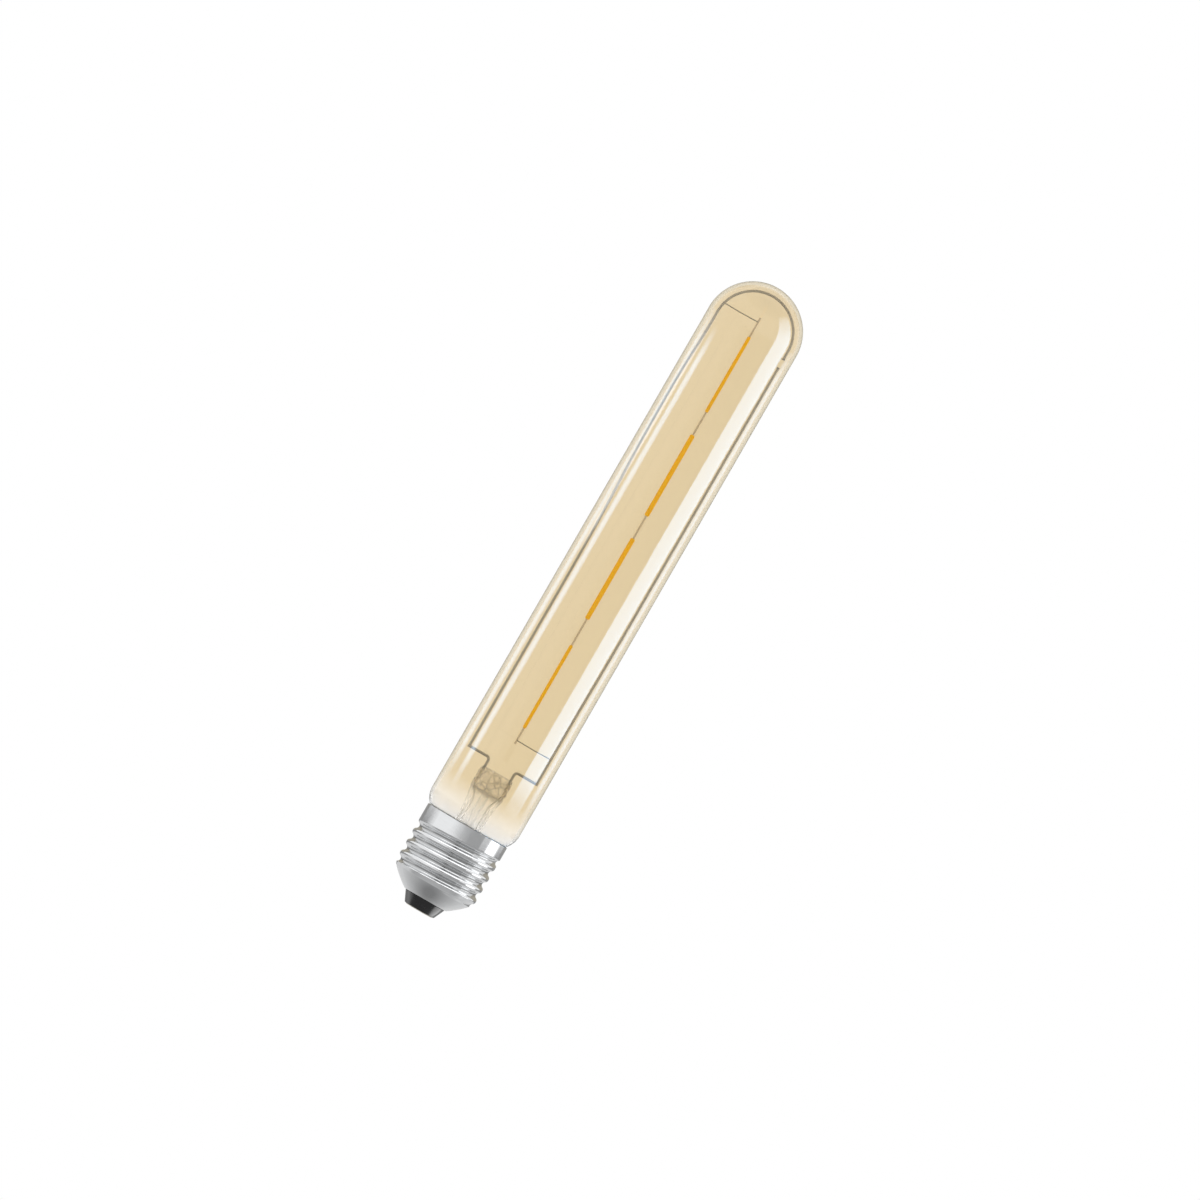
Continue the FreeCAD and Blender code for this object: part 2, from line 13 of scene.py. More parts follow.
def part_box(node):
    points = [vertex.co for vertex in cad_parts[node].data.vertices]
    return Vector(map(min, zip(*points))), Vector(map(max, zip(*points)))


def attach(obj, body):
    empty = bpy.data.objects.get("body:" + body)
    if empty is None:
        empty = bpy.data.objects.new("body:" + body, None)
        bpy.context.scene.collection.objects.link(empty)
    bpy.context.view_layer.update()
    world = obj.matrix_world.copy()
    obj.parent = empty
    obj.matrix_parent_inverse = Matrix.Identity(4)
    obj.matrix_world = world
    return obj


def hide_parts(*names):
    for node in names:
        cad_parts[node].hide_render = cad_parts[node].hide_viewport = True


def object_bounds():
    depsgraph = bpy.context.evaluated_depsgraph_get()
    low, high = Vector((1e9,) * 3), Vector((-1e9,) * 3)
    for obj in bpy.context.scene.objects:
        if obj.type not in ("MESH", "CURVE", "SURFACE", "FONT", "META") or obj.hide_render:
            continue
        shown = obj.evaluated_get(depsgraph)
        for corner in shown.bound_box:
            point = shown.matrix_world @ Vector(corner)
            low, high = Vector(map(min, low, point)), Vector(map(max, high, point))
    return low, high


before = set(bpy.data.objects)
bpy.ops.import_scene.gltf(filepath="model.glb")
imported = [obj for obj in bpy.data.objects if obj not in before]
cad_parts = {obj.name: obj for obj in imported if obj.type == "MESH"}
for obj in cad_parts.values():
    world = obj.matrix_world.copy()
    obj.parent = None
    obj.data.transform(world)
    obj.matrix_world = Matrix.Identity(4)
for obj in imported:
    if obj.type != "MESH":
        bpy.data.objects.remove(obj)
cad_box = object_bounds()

bl_info = {
    "name": "Tubular filament lamp",
    "version": (1, 0, 0),
    "blender": (4, 5, 0),
    "location": "3D View > Sidebar > Lamp",
    "description": "Builds the glass, wires, filaments and screw cap of a tubular lamp, with its stage",
    "category": "Add Mesh",
}

MM = 0.001
ROUND = 2 * math.pi
SIDES = ((-1, "left"), (1, "right"))
GLASS_LOW = 20.7 * MM               # from here up the cards show in the glass, and below it in the cap
lamp_top = cad_box[1].z


def length(label, about, value):
    return FloatProperty(name=label, description=about, default=value * MM, unit="LENGTH", precision=5)


def share(label, about, value):
    return FloatProperty(name=label, description=about, default=value, min=0, max=1, subtype="FACTOR")


def colour(label, about, value):
    return FloatVectorProperty(name=label, description=about, default=value, size=3, min=0, max=1,
                               subtype="COLOR")


def count(label, about, value):
    return IntProperty(name=label, description=about, default=value, min=1)


class LampGlass(bpy.types.PropertyGroup):
    tube_radius: length("Tube radius", "Outside radius of the tube and its dome", 14.5)
    wall: length("Wall", "Thickness of the blown glass", 1.0)
    shoulder_top: length("Shoulder top", "Height where the tube reaches its full radius", 33.0)
    shoulder_foot: length("Shoulder foot", "Height where the shoulder meets the neck", 27.6)
    shoulder_radius: length("Shoulder radius", "Radius at the foot of the shoulder", 12.5)
    neck_top: length("Neck top", "Height of the upper end of the neck", 24.4)
    neck_end: length("Neck end", "Height of the lower end of the neck", 17.4)
    neck_radius: length("Neck radius", "Outside radius of the neck in the cap", 11.1)
    tint: colour("Tint", "Gold coating of the glass", (0.875, 0.781, 0.604))
    clear_tint: colour("Clear tint", "Glass below the coating", (1.0, 0.985, 0.965))
    coat_foot: length("Coating foot", "Height where the coating has faded out", 28.5)
    coat_full: length("Coating full", "Height where the coating is full", 40.0)


class LampStem(bpy.types.PropertyGroup):
    tube_radius: length("Stem radius", "Outside radius of the stem tube", 4.3)
    wall: length("Stem wall", "Thickness of the stem tube", 0.9)
    lip_height: length("Lip", "Height of the flare's lip", 18.4)
    flare_top: length("Flare top", "Height where the flare ends in the tube", 27.5)
    straight_top: length("Straight top", "Height where the tube starts to flatten", 33.0)
    press_foot: length("Press foot", "Height of the lower end of the press", 39.2)
    press_top: length("Press top", "Height of the upper end of the press", 45.6)
    press_half_x: length("Press half width", "Half the width of the press", 5.2)
    press_half_y: length("Press half depth", "Half the thickness of the press", 2.0)
    crinkle: length("Crinkle", "Depth of the wrinkles that the jaws leave", 0.34)


class LampWires(bpy.types.PropertyGroup):
    radius: length("Wire radius", "Radius of the support wires and inner leads", 0.4)
    lead_radius: length("Lead radius", "Radius of the outer leads", 0.25)
    link_radius: length("Link radius", "Radius of the thin link wires", 0.17)
    run_height: length("Run height", "Height of the sideways leads", 48.4)
    lead_x: length("Lead place", "Distance of each lead from the axis", 4.3)
    left_x: length("Left wire", "Distance of the left wire from the axis", 11.1)
    bow_x: length("Bow", "Distance of the left wire where it bows out", 12.3)
    arch_radius: length("Arch radius", "Radius of the arch in the dome", 11.7)
    right_x: length("Right wire", "Distance of the right wire from the axis", 11.66)
    right_foot_x: length("Right foot", "Distance of the foot of the right wire", 11.3)
    metal: colour("Metal", "Dull nickel of the wires", (0.40, 0.39, 0.37))


class LampFilament(bpy.types.PropertyGroup):
    width: length("Width", "Width of a strip", 1.45)
    depth: length("Depth", "Thickness of a strip", 1.05)
    end_round: length("End round", "How far the coating rounds off at the ends", 0.45)
    swell: share("Swell", "How far the coating bulges over each chip", 0.05)
    chips: count("Chips", "Light chips under the coating of one strip", 24)
    phosphor: colour("Phosphor", "Silicone coating with phosphor", (1.0, 0.52, 0.0))


class LampCap(bpy.types.PropertyGroup):
    pitch: length("Pitch", "Rise of the thread in one turn", 3.629)
    crest_radius: length("Crest radius", "Outside radius of the thread", 13.1)
    thread_depth: length("Thread depth", "Height of a crest above a root", 1.1)
    sheet: length("Sheet", "Thickness of the rolled sheet", 0.3)
    groove_foot: length("Groove foot", "Height of the groove's lower end, on the +X side", 4.867)
    rim: length("Rim", "Height of the upper rim", 28.2)
    foot: length("Foot", "Height of the lower edge", 3.7)
    metal: colour("Metal", "Bright rolled sheet", (0.80, 0.81, 0.82))
    rows: count("Rows", "Rows of faces from foot to rim", 150)
    around: count("Around", "Faces round the cap", 160)


class LampStage(bpy.types.PropertyGroup):
    distance: FloatProperty(name="Camera distance", description="From the lamp to the camera",
                            default=4.0, unit="LENGTH")
    seen: length("Seen width", "Width of the picture at the lamp", 345.6)
    lean: FloatProperty(name="Lean", description="Roll of the camera", default=math.radians(29.98),
                        subtype="ANGLE")
    floor_drop: length("Floor drop", "How far the floor lies below the lamp", 160)
    floor_radius: length("Floor radius", "Radius of the pale floor", 250)
    sky: share("Sky", "Strength of the plain surrounding light", 0.8)
    soft_radiance: FloatProperty(name="Soft boxes", description="Brightness of the strip lights", default=4.0)


GROUPS = {
    "lamp_glass": LampGlass,
    "lamp_stem": LampStem,
    "lamp_wires": LampWires,
    "lamp_filament": LampFilament,
    "lamp_cap": LampCap,
    "lamp_stage": LampStage,
}


class Field:
    """A number in a node tree, with the usual sums."""

    def __init__(self, tree, socket):
        self.tree = tree
        self.socket = socket

    def __add__(self, other):
        return maths(self.tree, "ADD", self, other)

    def __sub__(self, other):
        return maths(self.tree, "SUBTRACT", self, other)

    def __rsub__(self, other):
        return maths(self.tree, "SUBTRACT", other, self)

    def __mul__(self, other):
        return maths(self.tree, "MULTIPLY", self, other)

    def __truediv__(self, other):
        return maths(self.tree, "DIVIDE", self, other)

    def __rtruediv__(self, other):
        return maths(self.tree, "DIVIDE", other, self)

    __radd__ = __add__
    __rmul__ = __mul__

    def do(self, operation, *others):
        return maths(self.tree, operation, self, *others)

    def above_zero(self):
        return self.do("MAXIMUM", 0.0)

    def held(self):
        """The number, held between 0 and 1."""
        return self.above_zero().do("MINIMUM", 1.0)


def plug(tree, value, socket):
    """Feeds a socket with a field, another socket or a plain value."""
    if isinstance(value, Field):
        value = value.socket
    if isinstance(value, bpy.types.NodeSocket):
        tree.links.new(value, socket)
    else:
        socket.default_value = value


def maths(tree, operation, *values):
    sums = tree.nodes.new("ShaderNodeMath")
    sums.operation = operation
    for socket, value in zip(sums.inputs, values):
        plug(tree, value, socket)
    return Field(tree, sums.outputs[0])


def add_node(tree, kind, inputs=None, **settings):
    new = tree.nodes.new(kind)
    for name, value in settings.items():
        setattr(new, name, value)
    for name, value in (inputs or {}).items():
        plug(tree, value, new.inputs[name])
    return new


def pick(test, yes, no):
    """Yes where the test is 1, no where it is 0."""
    return no + test * (yes - no)


def split(tree, vector):
    parts = add_node(tree, "ShaderNodeSeparateXYZ", {0: vector})
    return [Field(tree, out) for out in parts.outputs]


# Finishes


def new_finish(name, **sockets):
    """Material with one main shader; gives the material, its tree and the shader."""
    finish = bpy.data.materials.new(name)
    finish.use_nodes = True
    tree = finish.node_tree
    shader = tree.nodes["Principled BSDF"]
    for socket, value in sockets.items():
        shader.inputs[socket.replace("_", " ")].default_value = value
    return finish, tree, shader


def here(tree):
    return add_node(tree, "ShaderNodeTexCoord").outputs["Object"]


def grain(tree, scale, stretch=(1, 1, 1), detail=3.0, rough=0.55):
    """Noise from 0 to 1 in the lamp's own place, in waves for each metre."""
    place = add_node(tree, "ShaderNodeMapping", {"Vector": here(tree), "Scale": stretch})
    cloud = add_node(tree, "ShaderNodeTexNoise",
                     {"Vector": place.outputs[0], "Scale": scale, "Detail": detail, "Roughness": rough})
    return Field(tree, cloud.outputs[0])


def shades(tree, value, stops):
    """Colours or greys along a value."""
    ramp = add_node(tree, "ShaderNodeValToRGB", {0: value})
    band = ramp.color_ramp
    for k, (place, shade) in enumerate(stops):
        stop = band.elements[k] if k < 2 else band.elements.new(place)
        stop.position = place
        stop.color = (*shade, 1) if isinstance(shade, (tuple, list)) else (shade, shade, shade, 1)
    return ramp.outputs[0]


def mixed(tree, factor, low, high):
    mix = add_node(tree, "ShaderNodeMix", data_type="RGBA")
    plug(tree, factor, mix.inputs[0])
    for socket, value in ((mix.inputs[6], low), (mix.inputs[7], high)):
        plug(tree, (*value, 1) if isinstance(value, (tuple, list)) else value, socket)
    return mix.outputs[2]


def warp(tree, scale, reach):
    """Vector that shifts a pattern's place by up to about half the reach."""
    cloud = add_node(tree, "ShaderNodeTexNoise", {"Vector": here(tree), "Scale": scale, "Detail": 2.0})
    centred = add_node(tree, "ShaderNodeVectorMath", {0: cloud.outputs["Color"], 1: (0.5, 0.5, 0.5)},
                       operation="SUBTRACT")
    shift = add_node(tree, "ShaderNodeVectorMath", {0: centred.outputs[0], "Scale": reach}, operation="SCALE")
    return shift.outputs[0]


def rise(tree, shader, height, depth):
    """Bump of a height field, with its depth in metres."""
    bump = add_node(tree, "ShaderNodeBump", {"Height": height, "Strength": 1.0, "Distance": depth})
    plug(tree, bump.outputs[0], shader.inputs["Normal"])


def tone(shade, by):
    return tuple(min(1.0, c * by) for c in shade)


def gold_glass(glass):
    """Clear glass with a gold coating that fades to bare, faintly milky glass above the cap."""
    cloud_reach = 3 * MM
    milky_high = 5 * MM
    edge_lift = 0.6 * MM
    edge_high = 0.9 * MM
    finish, tree, shader = new_finish("gold_glass", Roughness=0.0, IOR=1.5, Transmission_Weight=1.0)
    height = split(tree, here(tree))[2]
    cloud = grain(tree, 260, detail=2)
    level = height + (cloud - 0.5) * cloud_reach
    coat = (level - glass.coat_foot) / (glass.coat_full - glass.coat_foot)
    soft = shades(tree, coat, [(0.0, 0.0), (1.0, 1.0)])
    streak = grain(tree, 90, (1, 1, 0.15), detail=4)
    gold = mixed(tree, streak, tone(glass.tint, 0.985), tone(glass.tint, 1.015))
    plug(tree, mixed(tree, soft, tuple(glass.clear_tint), gold), shader.inputs["Base Color"])
    milky = 1.0 - (level - glass.shoulder_foot) / milky_high
    edge = (1.0 - (height - glass.shoulder_foot - edge_lift) / edge_high).held()
    clear = 1.0 - milky.held() * 0.12 - edge * 0.15
    plug(tree, clear, shader.inputs["Transmission Weight"])
    rise(tree, shader, grain(tree, 60, (1, 1, 0.3), detail=1), 0.01 * MM)
    return finish


def stem_finish(name, tint, crinkle, foot, top):
    """Lead glass, smooth in the tube and wrinkled where the jaws pressed it, with a painted shade line near
    the foot.
    """
    press_blend = 2 * MM
    top_blend = 2.5 * MM
    shade_line_rise = 1.4
    shade_line_sag = 60
    finish, tree, shader = new_finish(name, Roughness=0.02, IOR=1.54, Transmission_Weight=1.0)
    x, height = split(tree, here(tree))[::2]
    pressed = ((height - foot) / press_blend).held()
    wrinkle = grain(tree, 420, (1, 1, 1.5), detail=5, rough=0.7)
    warped = add_node(tree, "ShaderNodeVectorMath", {0: here(tree), 1: warp(tree, 500, 1.2 * MM)},
                      operation="ADD")
    net = add_node(tree, "ShaderNodeTexVoronoi", {"Vector": warped.outputs[0], "Scale": 430},
                   feature="DISTANCE_TO_EDGE")
    vein = shades(tree, net.outputs[0], [(0.0, 0.0), (0.03, 0.15), (0.1, 0.85), (0.25, 1.0)])
    cloudy = mixed(tree, vein, (0.25, 0.215, 0.165),
                   mixed(tree, wrinkle, (0.88, 0.86, 0.82), (1.0, 0.99, 0.97)))
    # painted shade: a dark wavy line just above the press foot, for the dark outline of the hollow's top
    sag = x * x * shade_line_sag
    shade_line = ((height + (wrinkle - 0.5) * 3 * MM - foot - sag) / MM - shade_line_rise).do("ABSOLUTE")
    cloudy = mixed(tree, shades(tree, shade_line, [(0.0, 0.2), (0.35, 1.0)]), (0.30, 0.26, 0.21), cloudy)
    plug(tree, mixed(tree, pressed, tint, cloudy), shader.inputs["Base Color"])
    fade = ((top - height) / top_blend).held()
    plug(tree, pressed * (fade * 0.32 + 0.1) + 0.38, shader.inputs["Alpha"])
    rise(tree, shader, wrinkle * pressed, crinkle)
    return finish


def bead_glass():
    finish, tree, shader = new_finish("bead_glass", Roughness=0.03, IOR=1.52, Transmission_Weight=1.0)
    cloudy = mixed(tree, grain(tree, 900), (0.90, 0.90, 0.88), (0.97, 0.97, 0.95))
    plug(tree, cloudy, shader.inputs["Base Color"])
    rise(tree, shader, grain(tree, 500), 0.05 * MM)
    return finish


def drawn_metal(name, shade, rough=0.3, scale=1500, stretch=(1, 1, 0.08), bump=0.01):
    """Drawn or rolled metal with fine lines and a faint tarnish."""
    finish, tree, shader = new_finish(name, Metallic=1.0)
    line = grain(tree, scale, stretch)
    stain = grain(tree, 120, detail=5)
    fresh = mixed(tree, line, tone(shade, 0.86), tone(shade, 1.1))
    plug(tree, mixed(tree, shades(tree, stain, [(0.55, 0.0), (0.8, 0.5)]), fresh, tone(shade, 0.7)),
         shader.inputs["Base Color"])
    plug(tree, line * 0.25 + (rough - 0.1), shader.inputs["Roughness"])
    rise(tree, shader, line, bump * MM)
    return finish


def rolled_sheet(cap):
    """Bright sheet: rolling lines round the cap, painted shade in the roots of the thread, scuffed crests."""
    finish, tree, shader = new_finish("rolled_sheet", Metallic=1.0)
    x, y, z = split(tree, here(tree))
    radius = (x * x + y * y).do("SQRT")
    root = cap.crest_radius - cap.thread_depth
    depth = (radius - root) / cap.thread_depth
    threaded = shades(tree, (z - cap.foot) / (cap.rim - cap.foot),
                      [(0.19, 0.0), (0.23, 1.0), (0.75, 1.0), (0.79, 0.0)])
    # painted shade: the roots of the thread are darkened in the threaded band, where the sheet shades itself
    root_shade = shades(tree, depth, [(0.0, 1.0), (0.16, 0.15), (0.3, 0.0)])
    lines = grain(tree, 300, (1, 1, 18), detail=4, rough=0.7)
    patch = grain(tree, 170, detail=5, rough=0.6)
    shade = mixed(tree, lines, tone(cap.metal, 0.93), tone(cap.metal, 1.06))
    shade = mixed(tree, shades(tree, patch, [(0.5, 0.0), (0.75, 0.35)]), shade, tone(cap.metal, 0.8))
    shade = mixed(tree, Field(tree, root_shade) * Field(tree, threaded), shade, tone(cap.metal, 0.58))
    plug(tree, shade, shader.inputs["Base Color"])
    plug(tree, patch * 0.09 + lines * 0.07 + 0.03, shader.inputs["Roughness"])
    rise(tree, shader, lines * 0.5 + patch, 0.004 * MM)
    return finish


def phosphor_coat(filament):
    """Silicone with phosphor: brighter over each chip, with fine grains and a weak painted glow."""
    chip_step = 1.02 * MM
    finish, tree, shader = new_finish("phosphor_coat", Roughness=0.5, Specular_IOR_Level=0.05,
                                      Subsurface_Weight=0.15, Subsurface_Scale=0.4 * MM)
    grains = grain(tree, 4500, detail=2)
    z = split(tree, here(tree))[2]
    beat = (z * (ROUND / chip_step)).do("COSINE") * 0.5 + 0.5
    shade = mixed(tree, grains, tone(filament.phosphor, 0.9), tone(filament.phosphor, 1.1))
    shade = mixed(tree, beat * 0.25, shade, (1.0, 0.60, 0.01))
    plug(tree, shade, shader.inputs["Base Color"])
    # painted glow: the coat's colour also glows weakly, though the strips are not lit
    plug(tree, shade, shader.inputs["Emission Color"])
    shader.inputs["Emission Strength"].default_value = 0.35
    rise(tree, shader, grains, 0.03 * MM)
    return finish


def moulded(name, shade, rough, scale=700, bump=0.03, spread=0.2, **sockets):
    """Moulded, fired or cast surface with mottling, fine pits and uneven gloss."""
    finish, tree, shader = new_finish(name, **sockets)
    mottle = grain(tree, scale, detail=5, rough=0.65)
    mottled = mixed(tree, mottle, tone(shade, 1 - spread), tone(shade, 1 + spread))
    plug(tree, mottled, shader.inputs["Base Color"])
    plug(tree, mottle * 0.3 + (rough - 0.15), shader.inputs["Roughness"])
    rise(tree, shader, mottle, bump * MM)
    return finish


def pale_floor(radius):
    """Matt pale ground that melts into the white surroundings at its edge."""
    finish, tree, shader = new_finish("pale_floor", Roughness=0.8)
    speck = grain(tree, 60, detail=6)
    plug(tree, mixed(tree, speck, (0.90, 0.90, 0.90), (0.95, 0.95, 0.95)), shader.inputs["Base Color"])
    x, y = split(tree, here(tree))[:2]
    far = (x * x + y * y).do("SQRT") / radius
    plug(tree, shades(tree, far, [(0.55, 1.0), (1.0, 0.0)]), shader.inputs["Alpha"])
    return finish


def card_finish(name, shade, fade=None, rings=None, front_shade_rings=None):
    """Matt card of a grey or a colour.

    It can fade in between two azimuths, in degrees, or change shade from ring to ring. Rings are pairs of
    a radius and a shade and paint a shadow that darkens towards the middle, and the front rings, darker
    further out, hold painted shade on the camera's side.
    """
    finish, tree, shader = new_finish(name, Roughness=0.9, Specular_IOR_Level=0.1)
    x, y = split(tree, here(tree))[:2]
    shade = shade if isinstance(shade, tuple) else (shade,) * 3
    tint = mixed(tree, grain(tree, 8), tone(shade, 0.95), tone(shade, 1.05))
    # painted shadow: the rings darken the card towards the lamp's foot, and further out on the camera's side
    if rings:
        reach = rings[-1][0]
        far = (x * x + y * y).do("SQRT")
        shadow_pool, front = (shades(tree, far / reach, [(r / reach, c) for r, c in stops])
                       for stops in (rings, front_shade_rings))
        shadow_pool = mixed(tree, shades(tree, y * -1.0 / far, [(0.0, 0.0), (0.35, 1.0)]), shadow_pool, front)
        tint = mixed(tree, shadow_pool, (0, 0, 0), tint)
    plug(tree, tint, shader.inputs["Base Color"])
    if fade:
        azimuth = x.do("ARCTAN2", y * -1.0)
        first, last = (math.radians(a) for a in fade)
        veil = shades(tree, (azimuth - first) / (last - first), [(0.0, 0.0), (1.0, 1.0)])
        plug(tree, veil, shader.inputs["Alpha"])
    return finish


# Shapes


def place_piece(name, mesh, node, sharp=38):
    """Makes a mesh a finished piece that stands for a node of the model."""
    mesh.name = name
    mesh.shade_smooth()
    mesh.set_sharp_from_angle(angle=math.radians(sharp))
    piece = bpy.data.objects.new(name, mesh)
    bpy.context.scene.collection.objects.link(piece)
    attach(piece, "root")
    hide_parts(node)
    return piece


def lofted(rings, closed=False):
    """Mesh through rings of equal size, where a ring of one point is a pole."""
    shape = bmesh.new()
    made = [[shape.verts.new(point) for point in ring] for ring in rings]
    pairs = list(zip(made, made[1:]))
    if closed:
        pairs.append((made[-1], made[0]))
    for low, high in pairs:
        for k in range(max(len(low), len(high))):
            corners = []
            for vertex in (low[k % len(low)], low[(k + 1) % len(low)],
                           high[(k + 1) % len(high)], high[k % len(high)]):
                if vertex not in corners:
                    corners.append(vertex)
            if len(corners) > 2:
                shape.faces.new(corners)
    mesh = bpy.data.meshes.new("loft")
    shape.to_mesh(mesh)
    shape.free()
    return mesh


def turned(outline, around=96, closed=True, centre=(0, 0)):
    """Mesh turned about an upright axis; the outline runs up the outside, with r and z."""
    rings = []
    for r, z in outline:
        if r < 1e-9:
            rings.append([(centre[0], centre[1], z)])
            continue
        rings.append([(centre[0] + r * math.cos(ROUND * k / around),
                       centre[1] + r * math.sin(ROUND * k / around), z) for k in range(around)])
    return lofted(rings, closed)


def softened(points, radius, steps=4):
    """Outline with each corner between two others rounded."""
    out = []
    for k, point in enumerate(points):
        here_point = Vector(point)
        before = Vector(points[k - 1]) - here_point
        after = Vector(points[(k + 1) % len(points)]) - here_point
        if point[0] < 1e-9 or k in (0, len(points) - 1):
            out.append(point)
            continue
        half = before.angle(after) / 2
        reach = min(radius / math.tan(half), before.length * 0.45, after.length * 0.45)
        start = here_point + before.normalized() * reach
        end = here_point + after.normalized() * reach
        for step in range(steps + 1):
            t = step / steps
            out.append(tuple(start * (1 - t) ** 2 + here_point * (2 * t * (1 - t)) + end * t ** 2))
    return out


def s_bend(x0, z0, x1, z1, low_share=0.5, steps=16):
    """Points along two arcs from one upright run to another; the lower has that share of both radii."""
    step = x1 - x0
    climb = z1 - z0
    radii = (step ** 2 + climb ** 2) / (2 * abs(step))
    full = 2 * math.atan(abs(step) / climb)
    side = math.copysign(1, step)
    points = []
    for x, z, r, way in ((x0, z0, radii * low_share, 1), (x1, z1, radii * (1 - low_share), -1)):
        bend = []
        for k in range(steps + 1):
            turn = full * k / steps
            bend.append((x + way * side * r * (1 - math.cos(turn)), z + way * r * math.sin(turn)))
        points += bend if way > 0 else bend[-2::-1]
    return points


def glass_line(glass, inset):
    """Outline of the glass from the end of the neck to the top of the dome."""
    neck = glass.neck_radius - inset
    shoulder = glass.shoulder_radius - inset
    tube = glass.tube_radius - inset
    dome = lamp_top - glass.tube_radius
    line = [(neck, glass.neck_end)]
    line += s_bend(neck, glass.neck_top, shoulder, glass.shoulder_foot)
    line += s_bend(shoulder, glass.shoulder_foot, tube, glass.shoulder_top, 0.18)[1:]
    line += [(tube, glass.shoulder_top + (dome - glass.shoulder_top) * k / 12) for k in range(1, 12)]
    line += [(tube * math.cos(a), dome + tube * math.sin(a)) for a in
             (math.pi / 2 * k / 40 for k in range(40))]
    return line + [(0, dome + tube)]


def start_tree(name, inputs):
    """Geometry tree with named inputs; gives the tree, its input node and a field for each input."""
    tree = bpy.data.node_groups.new(name, "GeometryNodeTree")
    face = tree.interface
    face.new_socket("Geometry", in_out="INPUT", socket_type="NodeSocketGeometry")
    face.new_socket("Geometry", in_out="OUTPUT", socket_type="NodeSocketGeometry")
    for label, value in inputs.items():
        kind = "NodeSocketInt" if isinstance(value, int) else "NodeSocketFloat"
        face.new_socket(label, in_out="INPUT", socket_type=kind).default_value = value
    face.new_socket("Finish", in_out="INPUT", socket_type="NodeSocketMaterial")
    source = tree.nodes.new("NodeGroupInput")
    return tree, source, {label: Field(tree, source.outputs[label]) for label in inputs}


def end_tree(tree, source, geometry):
    """Closes a tree: doubles merged, instances made real and the finish set."""
    merged = add_node(tree, "GeometryNodeMergeByDistance", {"Geometry": geometry, "Distance": 1e-6})
    real = add_node(tree, "GeometryNodeRealizeInstances", {"Geometry": merged.outputs[0]})
    painted = add_node(tree, "GeometryNodeSetMaterial",
                       {"Geometry": real.outputs[0], "Material": source.outputs["Finish"]})
    out = tree.nodes.new("NodeGroupOutput")
    plug(tree, painted.outputs[0], out.inputs[0])


def grown(tree, finish, values, base=None):
    """Plain mesh that a geometry tree gives, from a base mesh where it needs one."""
    piece = bpy.data.objects.new("growing", base or bpy.data.meshes.new("growing"))
    bpy.context.scene.collection.objects.link(piece)
    growth = piece.modifiers.new("shape", "NODES")
    growth.node_group = tree
    for item in tree.interface.items_tree:
        if item.in_out == "INPUT" and item.name in values:
            growth[item.identifier] = values[item.name]
        elif item.name == "Finish":
            growth[item.identifier] = finish
    ready = piece.evaluated_get(bpy.context.evaluated_depsgraph_get())
    mesh = bpy.data.meshes.new_from_object(ready)
    piece.modifiers.remove(growth)
    bpy.data.objects.remove(piece)
    return mesh


def sheet_grid(tree, across, up):
    """Unit grid of points; gives its geometry and both places on it, from 0 to 1."""
    grid = add_node(tree, "GeometryNodeMeshGrid", {"Size X": 1.0, "Size Y": 1.0})
    plug(tree, across, grid.inputs["Vertices X"])
    plug(tree, up, grid.inputs["Vertices Y"])
    x, y = split(tree, tree.nodes.new("GeometryNodeInputPosition").outputs[0])[:2]
    return grid.outputs[0], x + 0.5, y + 0.5


def set_places(tree, geometry, x, y, z):
    place = add_node(tree, "ShaderNodeCombineXYZ", {0: x, 1: y, 2: z})
    return add_node(tree, "GeometryNodeSetPosition",
                    {"Geometry": geometry, "Position": place.outputs[0]}).outputs[0]


def thread_radius(p, crest, root, half, inset):
    """Radius of the knuckle thread at a distance from the middle of a root: two arcs that touch."""
    size = ((crest - root) * (crest - root) + half * half) / ((crest - root) * 4)
    crest_arc = size - inset
    root_arc = size + inset
    far = half - p
    low = root + size - (root_arc * root_arc - p * p).above_zero().do("SQRT")
    high = crest - size + (crest_arc * crest_arc - far * far).above_zero().do("SQRT")
    test = p.do("GREATER_THAN", half * root_arc / (size * 2))
    return pick(test, high, low)


